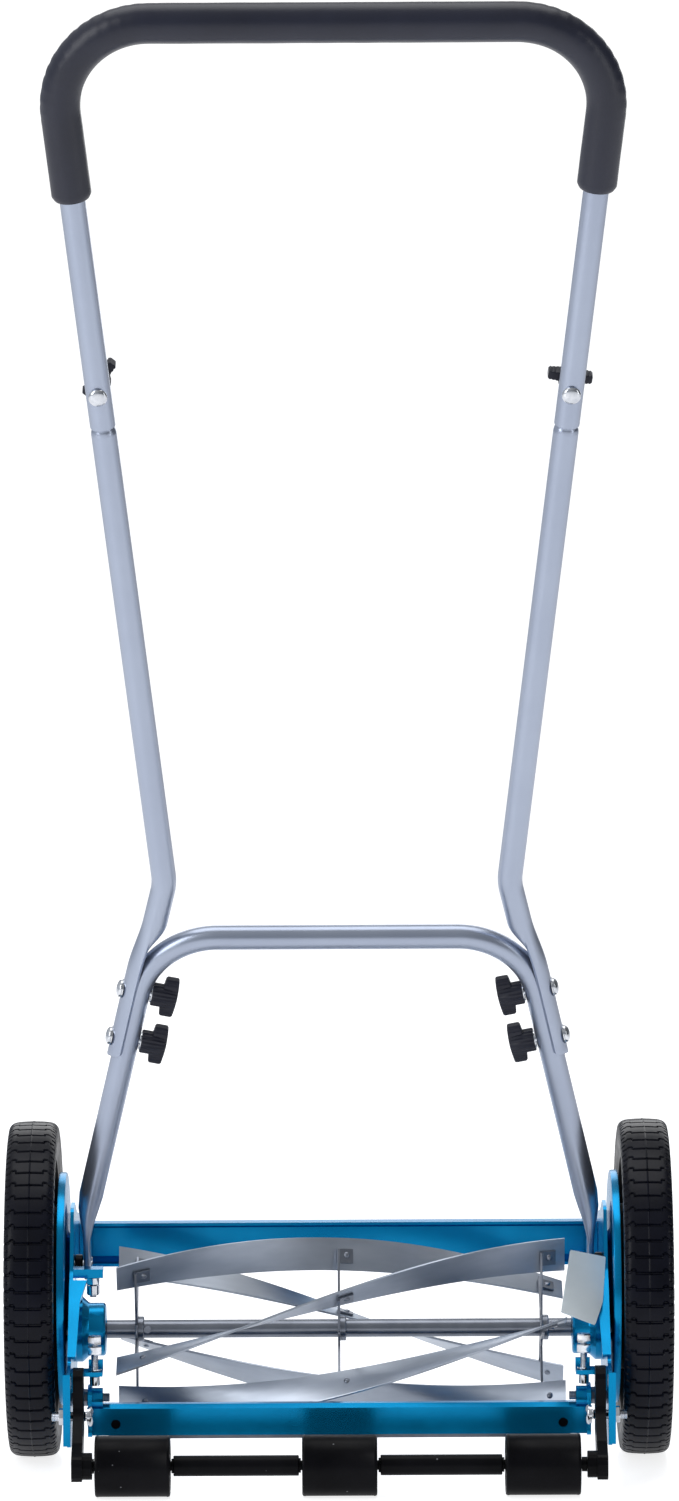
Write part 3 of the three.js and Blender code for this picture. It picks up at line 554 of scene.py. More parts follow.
def upper_tube():
    path = top_path(JOINT_Z, JOINT_Z)
    shape = on_handle(skin(along(path, round_section(TUBE_R))))
    piece("upper_tube", shape, "tube", "handle", "upper_handle_tube", edge=0.5)


def foam_grip():
    """A foam sleeve with rounded ends and shallow wrinkles inside its bends."""
    bend_x, bend_z, ripples = 125, 1035, 420
    path = refined(top_path(FOAM_END_Z["left"], FOAM_END_Z["right"], 40), 3)
    length = sum((b - a).length for a, b in zip(path, path[1:]))

    def section(angle, p, share):
        from_end = min(share, 1 - share) * length
        rounding = min(1, from_end / 3)
        radius = FOAM_R - 1.6 * (1 - math.sqrt(1 - (1 - rounding) ** 2))
        wave = noise.noise(Vector((p.x, p.y, angle * 20)) * 0.05)
        bend = max(0, min(1, (abs(p.x) - bend_x) / 40)) * max(0, min(1, (p.y - bend_z) / 30))
        inner = max(0, math.cos(angle))
        wrinkle = 0.5 * min(0, math.sin(share * ripples + angle)) * bend * inner
        r = radius - 0.12 + 0.12 * wave + wrinkle
        return r * math.cos(angle), r * math.sin(angle)

    grip = piece("grip", on_handle(skin(along(path, section, 48))), "foam", "handle", "foam_grip")


def middle_tube(name, side):
    """Round above, and squeezed below to a saddle round the lower tube's leg."""
    inner_r, outer_r = TUBE_R + 0.4, TUBE_R + 3.6
    wrap = 0.86
    round_z, flat_z, tip = 332, 287, 7

    def section(angle, p, share):
        blend = smoothstep((round_z - p.y) / (round_z - flat_z))
        outside = math.cos(angle) < -1e-9
        rounding = min(1, (p.y - CRESCENT_END_Z) / tip + 0.02)
        reach = wrap * math.sqrt(1 - (1 - rounding) ** 2)
        phi = (math.pi - angle) * reach if outside else angle * reach
        r = outer_r if outside else inner_r
        saddle = (-r * math.cos(phi), r * math.sin(phi))
        round_point = (TUBE_R * math.cos(angle), TUBE_R * math.sin(angle))
        return tuple(lerp(round_point[k], saddle[k], blend) for k in (0, 1))

    corners = [
        (upper_leg_x(JOINT_Z - 6), JOINT_Z - 6),
        (upper_leg_x(368), 368),
        (lower_leg_x(268), 268),
        (lower_leg_x(CRESCENT_END_Z), CRESCENT_END_Z),
    ]
    knee = bent_path(corners, 48, 14)
    path = [knee[0]] + refined(knee[1:], 3)
    body = skin(along(path, section, 64))
    shoulder = [(0, TUBE_R - 0.02), (2.2, TUBE_R - 0.3), (3.9, TUBE_R - 0.9), (5, 8.4), (66, 8.3)]
    rings = []
    for z, r in shoulder:
        height = JOINT_Z - 6 + z
        centre = Vector((upper_leg_x(height), height))
        rings.append(along([centre, centre + Vector((UPPER_SLOPE, 1))], round_section(r), 64)[0])
    neck = skin(rings)
    shape = merged(body, neck)
    piece(f"middle_tube_shell_{name}", both_ways(shape, side), "tube", "handle",
          f"middle_tube_{name}", sharp=40)


def lower_tube():
    """An inverted U whose feet are pressed flat where the studs hold them."""
    flat_top, eye_r = 70, 12.4
    corner = (lower_leg_x(CROSS_Z), CROSS_Z)
    foot = [(FOOT_X, -eye_r * math.cos(math.radians(a))) for a in (8, 20, 35, 50, 65, 80, 90)]
    leg = foot + [(FOOT_X, z) for z in (8, 16, 26)] + [(FOOT_X - 0.3, 33), (FOOT_X - 0.7, 40)]
    leg += [(FOOT_X - 0.9, 46), (lower_leg_x(56) - 0.4, 56), (lower_leg_x(flat_top), flat_top)]
    right = [Vector(p) for p in leg]
    left = [Vector((-p.x, p.y)) for p in reversed(right)]
    corners = [leg[-1], corner, (-corner[0], CROSS_Z), (-leg[-1][0], flat_top)]
    path = right[:-1] + bent_path(corners, CROSS_BEND, 24) + left[1:]

    def section(angle, p, share):
        flat = smoothstep((flat_top - p.y) / (flat_top - 24))
        half_thick = lerp(TUBE_R, 3, flat)
        half_wide = lerp(TUBE_R, 12.5, flat)
        if p.y < 0:
            half_wide = math.sqrt(max(eye_r**2 - p.y**2, 0.01))
        power = lerp(1, 0.55, flat)
        c, s = math.cos(angle), math.sin(angle)
        return half_thick * math.copysign(abs(c) ** power, c), half_wide * math.copysign(abs(s) ** power, s)

    shape = on_handle(skin(along(path, section)))
    piece("lower_tube", shape, "tube", "handle", "lower_handle_tube", sharp=50)


def dome_bolt(head_x, tip_x, head_r=7.4, thread_r=3):
    """A carriage bolt along +X: domed head, washer rim, shank."""
    profile = [(0, head_x)]
    for k in range(1, 9):
        a = math.radians(90 * k / 8)
        profile.append((head_r * math.sin(a), head_x + 3.4 * (1 - math.cos(a))))
    profile += [(head_r, head_x + 4), (thread_r, head_x + 4), (thread_r, tip_x), (0, tip_x)]
    return turned(profile, 40)


def wing_knob():
    """A fluted hub along +X and a bow-shaped wing across its far end."""
    hub = turned([(0, 0), (9.0, 0), (9.6, 0.8), (9.6, 12), (8.6, 18.5), (7.6, 20), (0, 20)], 72, 18, 0.7)
    half_length, steps = 17.4, 24
    rings = []
    for k in range(steps + 1):
        z = lerp(-half_length, half_length, k / steps)
        share = abs(z) / half_length
        near = 9.2 - 1.4 * (1 - share**2)
        far = 19.8 + 1.2 * (1 - share**2)
        half = 3.5 + 1.5 * (1 - share) ** 2 + 0.32 * math.cos(z * 2.4)
        if share > 0.97:
            near, far, half = near + 0.6, far - 0.6, half - 0.6
        middle, reach = (near + far) / 2, (far - near) / 2
        ring = []
        for i in range(24):
            a = 2 * math.pi * i / 24
            c, s = math.cos(a), math.sin(a)
            x = middle + reach * math.copysign(abs(c) ** 0.25, c)
            y = half * math.copysign(abs(s) ** 0.25, s)
            ring.append((x, y, z))
        rings.append(ring)
    return merged(hub, skin(rings))


def across_leg(shape, z):
    """Moves a shape drawn along X on to the lower leg's side direction at height z."""
    turn = Matrix.Rotation(math.atan(LEG_SLOPE), 4, "Y")
    return moved(shape, Matrix.Translation((lower_leg_x(z), 0, z)) @ turn)


def both_ways(shape, side):
    return on_handle(sided(shape, side))


def clamps():
    """Bolts, washers and wing knobs where the middle tubes clasp the lower tube's legs."""
    for level, z in CLAMP_Z.items():
        for name, side in SIDES.items():
            half_turn = Matrix.Rotation(math.pi, 4, "Z")
            headed = merged(dome_bolt(-18.1, 26), washer(-13.9, -12.9, 3.2, 8))
            bolt = across_leg(moved(headed, half_turn), z)
            piece(f"clamp_bolt_{level}_{name}_head", both_ways(bolt, side), "chrome", "handle",
                  f"clamp_bolt_{level}_{name}")
            plate = across_leg(moved(washer(10.3, 11.1, 3.2, 7.4), half_turn), z)
            piece(f"clamp_washer_{level}_{name}", both_ways(plate, side), "chrome", "handle")
            seat = Matrix.Translation((-(TUBE_R + 1.2), 0, 0)) @ half_turn
            knob = across_leg(moved(wing_knob(), seat), z)
            piece(f"clamp_wing_{level}_{name}", both_ways(knob, side), "knob",
                  f"{name}_{level}_clamp_knob", f"clamp_knob_{level}_{name}")


def upper_joint():
    """The bolts and wing knobs that hold the upper tube in the middle tubes."""
    centre = Matrix.Translation((upper_leg_x(JOINT_BOLT_Z), 0, JOINT_BOLT_Z))
    quarter = Matrix.Rotation(math.pi / 2, 4, "Z")
    for name, side in SIDES.items():
        bolt = moved(dome_bolt(-TUBE_R - 4.6, 26), centre @ quarter)
        piece(f"joint_bolt_{name}_head", both_ways(bolt, side), "chrome", "handle", f"joint_bolt_{name}")
        turn = Matrix.Rotation(math.radians(8 if side > 0 else 50) + math.pi / 2, 4, "X")
        seat = centre @ quarter @ Matrix.Translation((TUBE_R + 0.8, 0, 0)) @ turn
        piece(f"joint_wing_{name}", both_ways(moved(wing_knob(), seat), side), "knob",
              f"{name}_joint_knob", f"joint_knob_{name}")


# ---- wheels -----------------------------------------------------------------


def tread_depth(turn, across):
    """Depth of the tread at a place: turn counts pitches, across goes from -1 to 1."""
    edge = abs(across)
    thin = 1.5 / TREAD_STEPS
    step = 0.22 * smoothstep((edge - 0.5) / 0.08) - 0.12 * smoothstep((edge - 0.74) / 0.06)
    phase = (turn + step) % 1
    if edge < 0.02:
        return -0.45
    if edge < 0.94 and phase < thin:
        return GROOVE_DEPTH
    if 0.52 < edge < 0.57 and phase < 4.5 / TREAD_STEPS:
        return GROOVE_DEPTH * 0.7
    if 0.84 < edge and (phase + 0.5) % 1 < thin:
        return GROOVE_DEPTH
    return 0


def tyre(name, side):
    half = TYRE_WIDTH / 2
    columns = 50
    tread = []
    for i in range(columns + 1):
        across = -1 + 2 * i / columns
        crown = WHEEL_R - 0.35 - 1.6 * abs(across) ** 2 - 3.4 * abs(across) ** 9
        tread.append((crown, across * half * 0.97, across))
    wall = [(TYRE_INNER_R, -17.6), (114, -18), (116, -19.1), (118, -19.4), (122, -20.2),
            (SIDE_RIBS_R, -half), (132, -20.3)]
    profile = [(r, x, None) for r, x in wall] + tread
    profile += [(r, -x, None) for r, x in reversed(wall)]
    around = TREAD_PITCHES * TREAD_STEPS
    rings = []
    for radius, x, across in profile:
        ring = []
        for k in range(around):
            turn = k / TREAD_STEPS
            r = radius if across is None else radius - tread_depth(turn, across)
            ribbed = across is None and radius >= SIDE_RIBS_R and (turn + 0.25) % 1 < 0.2
            shift = 0.7 if ribbed else 0
            a = 2 * math.pi * k / around
            ring.append((TYRE_X + x - math.copysign(shift, x), r * math.cos(a), r * math.sin(a)))
        rings.append(ring)
    shape = moved(skin(rings, capped=False, chain_closed=True), Matrix.Translation(AXLE))
    piece(f"tread_tyre_{name}", sided(shape, side), "tyre", f"{name}_wheel",
          f"tyre_{name}", sharp=28)


def wheel_shell(name, side):
    """The moulded wheel: rim, ribbed disc and hub cap outside, gear rim and hub inside."""
    rim = TYRE_INNER_R - 0.3
    web, edge = WEB_X, WEB_X + 11
    gear_rim, hub = GEAR_X[0] - 1, GEAR_X[0] + 3
    outside = [(0, web + 8), (8, web + 7.8), (14, web + 7), (18, web + 5), (18.6, web + 0.4),
               (20, web - 0.4), (44, web - 1.2), (70, web - 1.2), (100, web - 0.6), (106, web + 1),
               (108, web + 4), (108.4, edge - 0.8), (109.2, edge), (rim, edge)]
    inside = [(rim, RIM_X), (108, RIM_X), (107, web - 5), (104, web - 4), (69, web - 4), (69, gear_rim),
              (63.8, gear_rim), (63.8, web - 4), (16, web - 4), (16, hub), (6.3, hub), (6.3, web - 2),
              (10, web - 2), (10, web + 5), (0, web + 5)]
    shape = turned(outside + inside, 120)
    ribs = []
    for k in range(SPOKES):
        a = 2 * math.pi * k / SPOKES
        rib = skin([
            [(web - 2, r, -w), (web - 2, r, w), (web + h, r, w * 0.6), (web + h, r, -w * 0.6)]
            for r, w, h in ((17, 5, 4), (30, 4, 3.4), (60, 3.2, 3), (100, 3.2, 3), (108.2, 4.5, 5))
        ])
        ribs.append(moved(rib, Matrix.Rotation(a, 4, "X")))
    for k in range(RING_TEETH):
        turn = Matrix.Rotation(MESH_ANGLE + 2 * math.pi * (k + 0.5) / RING_TEETH, 4, "X")
        outline = [(59, -1.3), (64, -3.4), (64, 3.4), (59, 1.3)]
        ribs.append(moved(skin([[(x, r, w) for r, w in outline] for x in GEAR_X]), turn))
    shape = moved(merged(shape, *ribs), Matrix.Translation(AXLE))
    piece(f"wheel_shell_{name}", sided(shape, side), "plastic", f"{name}_wheel",
          f"wheel_{name}", edge=0.4)


def dust_cover(name, side):
    """A pressed dish behind the wheel, with a wide lip towards the tyre."""
    out, t = DISH_R, DISH_SHEET
    inner = PLATE_OUT_X + GAP
    back, lip = inner + DISH_DEPTH, TYRE_X - TYRE_WIDTH / 2 - 0.9
    profile = [(7, inner), (43, inner), (44.6, inner + 0.5), (48, back - 0.4), (49.5, back),
               (out - 1.6, back), (out - 0.4, back + 0.4), (out, back + 1.6), (out, lip - 0.3),
               (out - 0.4, lip), (out - 1.2, lip), (out - t, lip - 0.3), (out - t, back + t + 0.4),
               (out - 1.9, back + t), (48.4, back + t), (47, back + 0.9), (43.4, inner + t + 0.4),
               (42.6, inner + t), (7, inner + t), (7, inner)]
    shape = moved(turned(profile, 120), Matrix.Translation(AXLE))
    dish = piece(f"dish_{name}", sided(shape, side), "blue", "frame", f"dust_cover_{name}")
    drilled(dish, side * inner, side * (back + 2), (0, REEL.y, REEL.z), JOURNAL_R + 3)


# ---- reel -------------------------------------------------------------------


def blade_angle(k, x):
    share = (x - BLADE_LEFT_X) / BLADE_LENGTH
    return BLADE_START - 2 * math.pi * k / BLADE_COUNT + BLADE_TWIST * share


def reel_point(x, angle, radius, offset):
    """A point at a radius from the reel's axis, offset sideways from the radial line."""
    c, s = math.cos(angle), math.sin(angle)
    return REEL + Vector((x, radius * c - offset * s, radius * s + offset * c))


def blades():
    stations = 90
    half = BLADE_THICK / 2
    low, high = REEL_R - BLADE_WIDTH, REEL_R
    outline = [(low + 0.3, -half), (high - 0.9, -half), (high, -half + 0.5), (high, half),
               (low + 0.3, half), (low, half - 0.3), (low, -half + 0.3)]
    for k in range(BLADE_COUNT):
        rings = []
        for i in range(stations + 1):
            x = BLADE_LEFT_X + BLADE_LENGTH * i / stations
            rings.append([reel_point(x, blade_angle(k, x), r, t) for r, t in outline])
        piece(f"blade_{k + 1}", skin(rings), "blade", "reel", f"reel_blade_{k + 1}", sharp=30)


def rivet(x, angle, radius, offset, away):
    """A round-headed rivet standing on a blade's face."""
    rings = []
    for share in (0, 0.25, 0.5, 0.75, 0.9, 1):
        r = 2.8 * math.sqrt(max(1 - share**2, 0.0004))
        height = offset + away * 1.4 * share
        ring = []
        for k in range(20):
            a = 2 * math.pi * k / 20
            ring.append(reel_point(x + r * math.cos(a), angle, radius + r * math.sin(a), height))
        rings.append(ring)
    return skin(rings)


def spider(name, x):
    """A pressed five-armed plate with a bent tab riveted to each blade."""
    half = 1.0
    hub = turned([(SHAFT_R + 0.4, -half), (16.6, -half), (17, -half + 0.3), (17, half - 0.3),
                  (16.6, half), (SHAFT_R + 0.4, half), (SHAFT_R + 0.4, -half)], 60)
    boss = turned([(SHAFT_R + 0.2, 0), (10.4, 0), (10.4, 5.4), (9.8, 6), (SHAFT_R + 0.2, 6),
                   (SHAFT_R + 0.2, 0)], 48)
    shapes = [moved(merged(hub, boss), Matrix.Translation(REEL + Vector((x, 0, 0))))]
    rivets = []
    for k in range(BLADE_COUNT):
        a = blade_angle(k, x)
        near = BLADE_THICK / 2 + 0.4
        edge = [(9, near), (66, near), (66, near + 3.4), (60, near + 5), (20, near + 8.6), (9, near + 8.6)]
        arm = skin([[reel_point(x + dx, a, r, t) for r, t in edge] for dx in (-half, half)])
        tab_x = x + 6.5
        bend = blade_angle(k, tab_x)
        tab_edge = [(54, near), (66, near), (66, near + 1.6), (54, near + 1.6)]
        tab = skin([[reel_point(u, blade_angle(k, u), r, t) for r, t in tab_edge]
                    for u in (x - half, x + 3, x + 7, x + 12)])
        shapes += [arm, tab]
        rivets.append(rivet(tab_x, bend, 60.5, near + 1.5, 1))
        rivets.append(rivet(tab_x, bend, 60.5, -BLADE_THICK / 2 + 0.1, -1))
    piece(f"spider_{name}", merged(*shapes), "steel", "reel", f"reel_spider_{name}", edge=0.3)
    piece(f"rivets_{name}", merged(*rivets), "steel", "reel")


def shaft():
    """The reel's shaft with thin journals at its ends and the left spider's set screw."""
    shoulder, end = HOUSING_X - GAP, GEAR_X[1]
    profile = [(0, -end), (4.4, -end), (JOURNAL_R, -end + 0.6), (JOURNAL_R, -shoulder), (7.1, -shoulder),
               (SHAFT_R, -shoulder + 0.4), (SHAFT_R, shoulder - 0.4), (7.1, shoulder),
               (JOURNAL_R, shoulder), (JOURNAL_R, end - 0.6), (4.4, end), (0, end)]
    screw = turned([(0, 0), (2.6, 0), (3, 0.5), (3, 4), (0, 4)], 20)
    seat = Matrix.Translation((-SPIDER_X + 9, -SHAFT_R + 1.5, 1))
    shape = merged(turned(profile, 48), moved(screw, seat @ Matrix.Rotation(-math.pi / 2, 4, "Z")))
    piece("shaft", moved(shape, Matrix.Translation(REEL)), "steel", "reel", "reel_shaft")


# ---- frame fittings ---------------------------------------------------------


def hex_nut(x0, x1, across=13.0, bore=3.6):
    """A hexagon nut along X with chamfered corners."""
    corner = across / math.sqrt(3)
    flat = across / 2
    rings = []
    for x, grow in ((x0, None), (x0, 0.9), (x0 + 0.7, 1), (x1 - 0.7, 1), (x1, 0.9), (x1, None)):
        ring = []
        for k in range(12):
            a = math.pi * k / 6
            r = min((flat if k % 2 else corner) * grow, corner * 0.97) if grow else bore
            ring.append((x, r * math.cos(a), r * math.sin(a)))
        rings.append(ring)
    return skin(rings, capped=False, chain_closed=True)


def thread(x0, x1, radius, pitch=1.25):
    """A screw's ridged shank, drawn as fine rings along X."""
    profile = [(0, x0)]
    steps = int((x1 - x0) / (pitch / 2))
    for k in range(steps + 1):
        profile.append((radius - (0.45 if k % 2 else 0), x0 + k * pitch / 2))
    return turned(profile + [(0, x0 + steps * pitch / 2)], 24)


def bracket_bolts():
    """Carriage bolts that hold the roller brackets, with their nuts outside the side plates."""
    nut_x = PLATE_OUT_X + GAP
    shape = merged(
        dome_bolt(200.4, 207.4, 8.2, 4),
        washer(204.5, 206.3, 4.2, 7.4),
        washer(nut_x, nut_x + 1.2, 4.2, 8.6),
        hex_nut(nut_x + 1.2, nut_x + 6.6),
        thread(207, nut_x + 12.6, 4),
    )
    for name, side in SIDES.items():
        placed = moved(shape, Matrix.Translation(BRACKET_BOLT))
        piece(f"bracket_bolt_{name}_set", sided(placed, side), "chrome", "frame",
              f"bracket_bolt_{name}", sharp=30)


def adjusters():
    """Upright screws, drawn by their heights, that press on the bed's ends."""
    upright = Matrix.Translation(ADJUSTER) @ Matrix.Rotation(-math.pi / 2, 4, "Y")
    shape = merged(
        thread(78.4, 113, 3.1),
        turned([(0, 78.3), (4, 78.3), (4.2, 78.8), (4.2, 85.4), (3.8, 86), (3, 86)], 32),
        washer(91, 92, 3.1, 5.6),
        hex_nut(104, 111, 11.2, 3),
        turned([(3, 112.4), (5.8, 112.4), (6, 112.8), (6, 118.6), (5.2, 119.5), (0, 119.5)], 6),
    )
    for name, side in SIDES.items():
        placed = moved(shape, upright)
        piece(f"adjuster_{name}", sided(placed, side), "chrome", "frame",
              f"bed_adjuster_{name}", sharp=30)


def pivot_bolts():
    """The bed's pivot bolts with their threaded ends inside."""
    collar = [(0, 207), (6.6, 207), (7, 207.4), (7, PLATE_X - GAP), (4, PLATE_X - GAP),
              (4, PLATE_OUT_X + 1.2), (0, PLATE_OUT_X + 1.2)]
    shape = merged(thread(189, 207.5, 3.7), turned(collar, 40))
    for name, side in SIDES.items():
        placed = moved(shape, Matrix.Translation(BED_PIVOT))
        piece(f"bed_bolt_{name}", sided(placed, side), "steel", "frame",
              f"bed_pivot_bolt_{name}", sharp=30)


def handle_studs():
    """Studs through the flattened feet, with a washer and a split pin at their inner ends."""
    inner = PLATE_X - GAP
    stud = turned([(0, 204.7), (3.4, 204.7), (4, 205.2), (4, 216), (6.7, 216), (7, 216.4), (7, inner),
                   (4, inner), (4, PLATE_OUT_X), (0, PLATE_OUT_X)], 40)
    turns = [math.pi * k / 5 for k in range(10)]
    pins = []
    for offset in (-0.8, 0.8):
        wire = [(205.4 + 0.6 * math.cos(a), offset + 0.6 * math.sin(a)) for a in turns]
        pins.append(skin([[(x, y, z) for x, y in wire] for z in (-7, 6.4)]))
    shape = moved(merged(stud, *pins), Matrix.Translation(PIVOT))
    for name, side in SIDES.items():
        piece(f"stud_{name}", sided(shape, side), "chrome", "frame",
              f"handle_stud_{name}", sharp=30)


def stop_bolts():
    """A small bolt and nut hanging under each upper ear."""
    upright = Matrix.Translation(STOP_BOLT) @ Matrix.Rotation(-math.pi / 2, 4, "Y")
    shape = merged(thread(141.4, 162.8, 2.9), hex_nut(151.6, 158, 10.6, 2.8),
                   turned([(0, 143), (4.6, 143), (5.4, 144), (5.4, 151), (2.8, 151)], 40))
    for name, side in SIDES.items():
        placed = moved(shape, upright)
        piece(f"stop_bolt_{name}", sided(placed, side), "chrome", "frame", sharp=30)


def tie_bar_tabs():
    """Welded tabs that close the tie bar's open back beside each side plate."""
    tab = extruded([(80, 146), (82.5, 146), (82.5, 181), (80, 181)], FOOT_X, PLATE_X - GAP)
    for name, side in SIDES.items():
        piece(f"tie_tab_{name}", sided(tab, side), "blue", "frame", edge=0.5)


def stud_shade_bushings():
    """Black bushings that keep the handle's feet off the side plates; their black is painted shade,
    standing for the shadow between each foot and its plate.
    """
    inner, outer = 212.8, PLATE_X - GAP
    profile = [(4.2, inner), (8.2, inner), (8.8, inner + 0.6), (8.8, outer - 0.6), (8.2, outer),
               (4.2, outer), (4.2, inner)]
    shape = moved(turned(profile, 40), Matrix.Translation(PIVOT))
    for name, side in SIDES.items():
        piece(f"shade_bushing_{name}", sided(shape, side), "plastic", "frame")


def hole_shade_discs():
    """Dark discs pushed into the bed bar's two holes: painted shade, standing for the shade inside the
    holes.
    """
    quarter = Matrix.Rotation(math.pi / 2, 4, "Z")
    profile = [(0, -101.6), (3.4, -101.6), (3.9, -101), (3.9, -100.4), (5, -100.3), (5, -99.3),
               (0, -99.3)]
    shade_disc = turned(profile, 32)
    for name, side in SIDES.items():
        placed = moved(shade_disc, Matrix.Translation((side * BED_HOLE.x, 0, BED_HOLE.z)) @ quarter)
        piece(f"hole_shade_disc_{name}", placed, "plastic", "bed")


def housings():
    """Bearing housings with a flange and a shallow recess round the shaft."""
    back = PLATE_X - GAP
    profile = [(5.3, HOUSING_X + 1.6), (9, HOUSING_X + 1.6), (10.4, HOUSING_X), (19.4, HOUSING_X),
               (21, HOUSING_X + 0.5), (22, HOUSING_X + 1.8), (22, back - 12.6), (22.6, back - 11.2),
               (26.2, back - 7.4), (27, back - 6.4), (27, back), (5.3, back), (5.3, HOUSING_X + 1.6)]
    shape = moved(turned(profile, 64), Matrix.Translation(REEL))
    for name, side in SIDES.items():
        piece(f"housing_{name}", sided(shape, side), "blue", "frame",
              f"bearing_housing_{name}")


# ---- rollers ----------------------------------------------------------------


def rollers():
    """Rollers with a recess in each end, resting on the ground."""
    radius, half = ROLLER.z, ROLLER_HALF
    left = [(4.3, -half), (9, -half), (9.6, -half + 1.4), (20, -half + 1.4), (20.8, -half),
            (radius - 1.6, -half), (radius - 0.5, -half + 0.5), (radius, -half + 1.8),
            (radius, -half + 2.6), (radius - 0.25, -half + 3)]
    profile = left + [(r, -u) for r, u in reversed(left)]
    profile.append(profile[0])
    for name, x in ROLLER_X.items():
        shape = turned([(r, u + x) for r, u in profile], 96)
        piece(f"roller_body_{name}", moved(shape, Matrix.Translation(ROLLER)), "plastic",
              f"{name}_roller", f"roller_{name}")


def roller_axle():
    """The rod through the rollers, with the sleeves that hold them apart."""
    neck, sleeve, pin, inner = 6, 8.4, ROLLER_AXLE_R, ROLLER_HALF
    bracket, end = 200.7, 217.2

    def outwards(outer):
        return [(pin, inner + 1), (neck, inner + 1), (neck, inner + 2.6), (sleeve - 0.5, inner + 2.6),
                (sleeve, inner + 3.2), (sleeve, outer - inner - 3.2), (sleeve - 0.5, outer - inner - 2.6),
                (neck, outer - inner - 2.6), (neck, outer - inner - 1), (pin, outer - inner - 1),
                (pin, outer + inner + 1), (neck, outer + inner + 1), (neck, bracket), (pin, bracket),
                (pin, end), (0, end)]

    left = [(r, -x) for r, x in reversed(outwards(-ROLLER_X["left"]))]
    shape = turned(left + outwards(ROLLER_X["right"]), 48)
    piece("axle_sleeves", moved(shape, Matrix.Translation(ROLLER)), "plastic", "roller_carriage",
          "roller_axle")


# ---- stage, light, camera ---------------------------------------------------


def stage():
    """A white, slightly glossy floor that glows more to the camera than it lights the mower."""
    mesh = bpy.data.meshes.new("floor")
    mesh.from_pydata([(-12, -12, 0), (12, -12, 0), (12, 30, 0), (-12, 30, 0)], [], [(0, 1, 2, 3)])
    floor = bpy.data.objects.new("floor", mesh)
    bpy.context.scene.collection.objects.link(floor)
    material = bpy.data.materials.new("floor")
    material.use_nodes = True
    shader = material.node_tree.nodes["Principled BSDF"]
    shader.inputs["Base Color"].default_value = (0.93, 0.93, 0.95, 1)
    shader.inputs["Roughness"].default_value = 0.12
    shader.inputs["Specular IOR Level"].default_value = 0.22
    shader.inputs["Emission Color"].default_value = (1, 1, 1, 1)
    nodes, links = material.node_tree.nodes, material.node_tree.links
    path, glow = nodes.new("ShaderNodeLightPath"), nodes.new("ShaderNodeMapRange")
    glow.inputs["To Min"].default_value = 0.34
    glow.inputs["To Max"].default_value = 0.8
    links.new(path.outputs["Is Camera Ray"], glow.inputs["Value"])
    links.new(glow.outputs["Result"], shader.inputs["Emission Strength"])
    mesh.materials.append(material)


def sky():
    """White behind the object, with a softer, slightly blue surround in what it reflects."""
    world = bpy.data.worlds.new("studio")
    bpy.context.scene.world = world
    world.use_nodes = True
    nodes, links = world.node_tree.nodes, world.node_tree.links
    nodes.clear()
    output = nodes.new("ShaderNodeOutputWorld")
    white, surround = nodes.new("ShaderNodeBackground"), nodes.new("ShaderNodeBackground")
    white.inputs["Strength"].default_value = 1.1
    white.inputs["Color"].default_value = (1, 1, 1, 1)
    surround.inputs["Strength"].default_value = 0.5
    place = nodes.new("ShaderNodeTexCoord")
    split = nodes.new("ShaderNodeSeparateXYZ")
    links.new(place.outputs["Generated"], split.inputs["Vector"])
    ramp = nodes.new("ShaderNodeValToRGB")
    stops = [(0.0, (0.62, 0.66, 0.74)), (0.30, (0.42, 0.46, 0.54)), (0.55, (0.62, 0.66, 0.72)),
             (1.0, (1, 1, 1))]
    for _ in range(len(stops) - 2):
        ramp.color_ramp.elements.new(0.5)
    for element, (position, color) in zip(ramp.color_ramp.elements, stops):
        element.position = position
        element.color = (*color, 1)
    half = nodes.new("ShaderNodeMapRange")
    half.inputs["From Min"].default_value = -1
    links.new(split.outputs["Z"], half.inputs["Value"])
    links.new(half.outputs["Result"], ramp.inputs["Fac"])
    sideways = nodes.new("ShaderNodeMapRange")
    sideways.inputs["From Min"].default_value = -1
    sideways.inputs["To Min"].default_value = 1.5
    sideways.inputs["To Max"].default_value = 0.2
    links.new(split.outputs["X"], sideways.inputs["Value"])
    scaled = nodes.new("ShaderNodeVectorMath")
    scaled.operation = "SCALE"
    links.new(ramp.outputs["Color"], scaled.inputs[0])
    links.new(sideways.outputs["Result"], scaled.inputs["Scale"])
    links.new(scaled.outputs["Vector"], surround.inputs["Color"])
    path = nodes.new("ShaderNodeLightPath")
    mix = nodes.new("ShaderNodeMixShader")
    links.new(path.outputs["Is Camera Ray"], mix.inputs["Fac"])
    links.new(surround.outputs["Background"], mix.inputs[1])
    links.new(white.outputs["Background"], mix.inputs[2])
    links.new(mix.outputs["Shader"], output.inputs["Surface"])


def softbox(name, location, target, size, watts):
    light = bpy.data.lights.new(name, "AREA")
    light.energy = watts
    light.shape = "RECTANGLE"
    light.size, light.size_y = size
    obj = bpy.data.objects.new(name, light)
    obj.location = location
    aim = Vector(target) - Vector(location)
    obj.rotation_euler = aim.to_track_quat("-Z", "Y").to_euler()
    bpy.context.scene.collection.objects.link(obj)


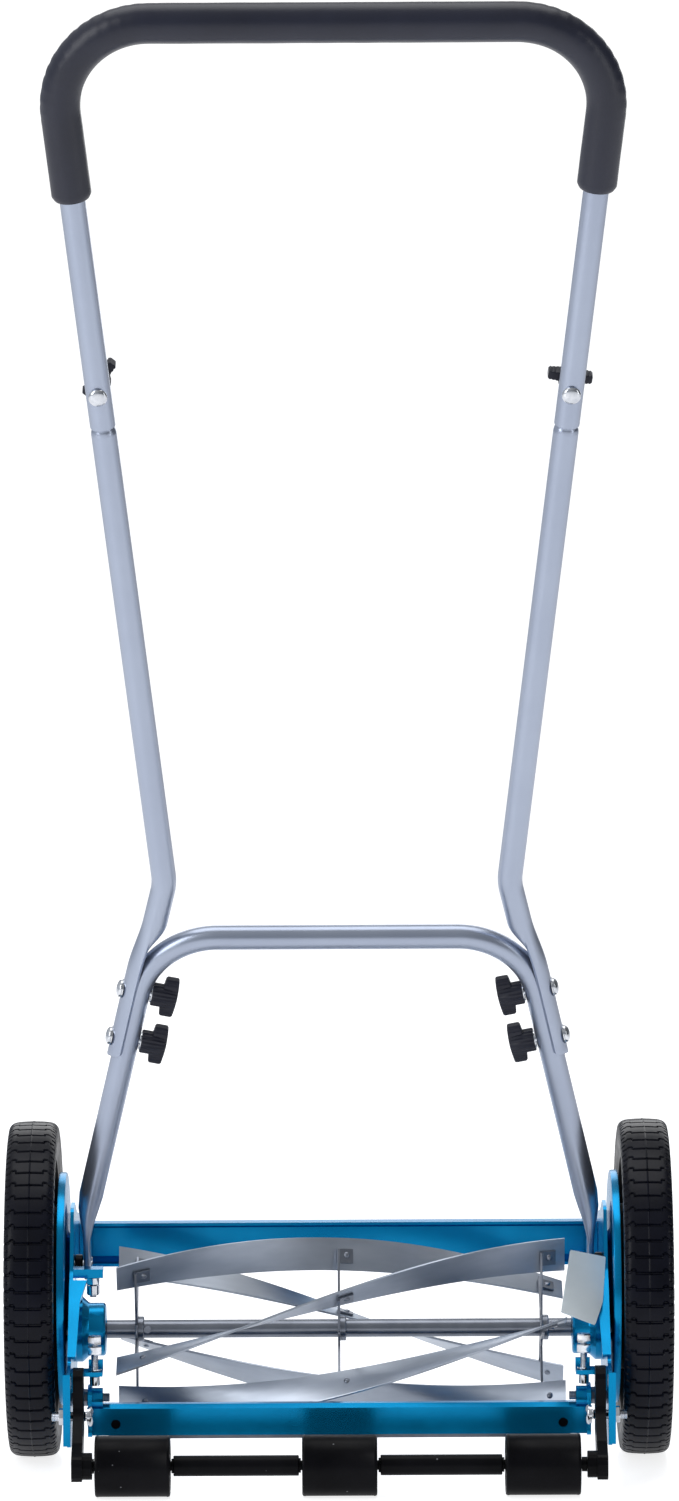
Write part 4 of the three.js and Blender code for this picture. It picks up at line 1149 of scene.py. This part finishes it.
def lights():
    softbox("key_left", (-2.6, -2.2, 2.0), (0, 0, 0.5), (1.4, 2.6), 34)
    softbox("top", (0, 0.4, 3.2), (0, 0.1, 0.2), (2.6, 2.0), 26)
    softbox("back", (0.4, 3.2, 1.6), (0, 0, 0.4), (3.0, 1.8), 24)
    softbox("fill_right", (2.8, -1.6, 1.2), (0, 0, 0.5), (0.8, 2.0), 8)


def camera():
    """A long lens, looking slightly down from behind the mower."""
    data = bpy.data.cameras.new("camera")
    data.sensor_fit = "VERTICAL"
    data.sensor_height = 36
    data.lens = CAMERA_LENS
    data.shift_x = CAMERA_SHIFT
    data.clip_end = 100
    obj = bpy.data.objects.new("camera", data)
    obj.location = (0, AXLE_SHIFT * MM - CAMERA_DISTANCE, CAMERA_HEIGHT)
    tilt = Matrix.Rotation(math.radians(90 - CAMERA_DOWN), 4, "X")
    roll = Matrix.Rotation(math.radians(CAMERA_ROLL), 4, "Z")
    obj.rotation_euler = (tilt @ roll).to_euler()
    bpy.context.scene.collection.objects.link(obj)
    bpy.context.scene.camera = obj


# ---- assembly ---------------------------------------------------------------

camera()
sky()
lights()
stage()
bpy.context.scene.view_settings.view_transform = "Standard"

upper_tube()
foam_grip()
lower_tube()
clamps()
upper_joint()
blades()
shaft()
for spider_name, spider_x in (("left", -SPIDER_X), ("middle", 0), ("right", SPIDER_X)):
    spider(spider_name, spider_x)
bracket_bolts()
adjusters()
pivot_bolts()
handle_studs()
stop_bolts()
tie_bar_tabs()
stud_shade_bushings()
hole_shade_discs()
housings()
rollers()
roller_axle()
for side_name, side_sign in SIDES.items():
    middle_tube(side_name, side_sign)
    tyre(side_name, side_sign)
    wheel_shell(side_name, side_sign)
    dust_cover(side_name, side_sign)
    kept(f"side_plate_{side_name}", "blue", 0.6)
    kept(f"roller_bracket_{side_name}", "plastic", 0.8)
    kept(f"axle_stud_{side_name}", "chrome", 0.4)
    kept(f"drive_pinion_{side_name}", "steel", 0.2)
    kept(f"drive_pawl_{side_name}", "steel", 0.2)
kept("front_tie_bar", "blue", 0.8)
kept("bed_bar", "blue", 0.6)
kept("bed_knife", "steel", 0.3)
kept("reel_end_guard", "frosted", 0.4)
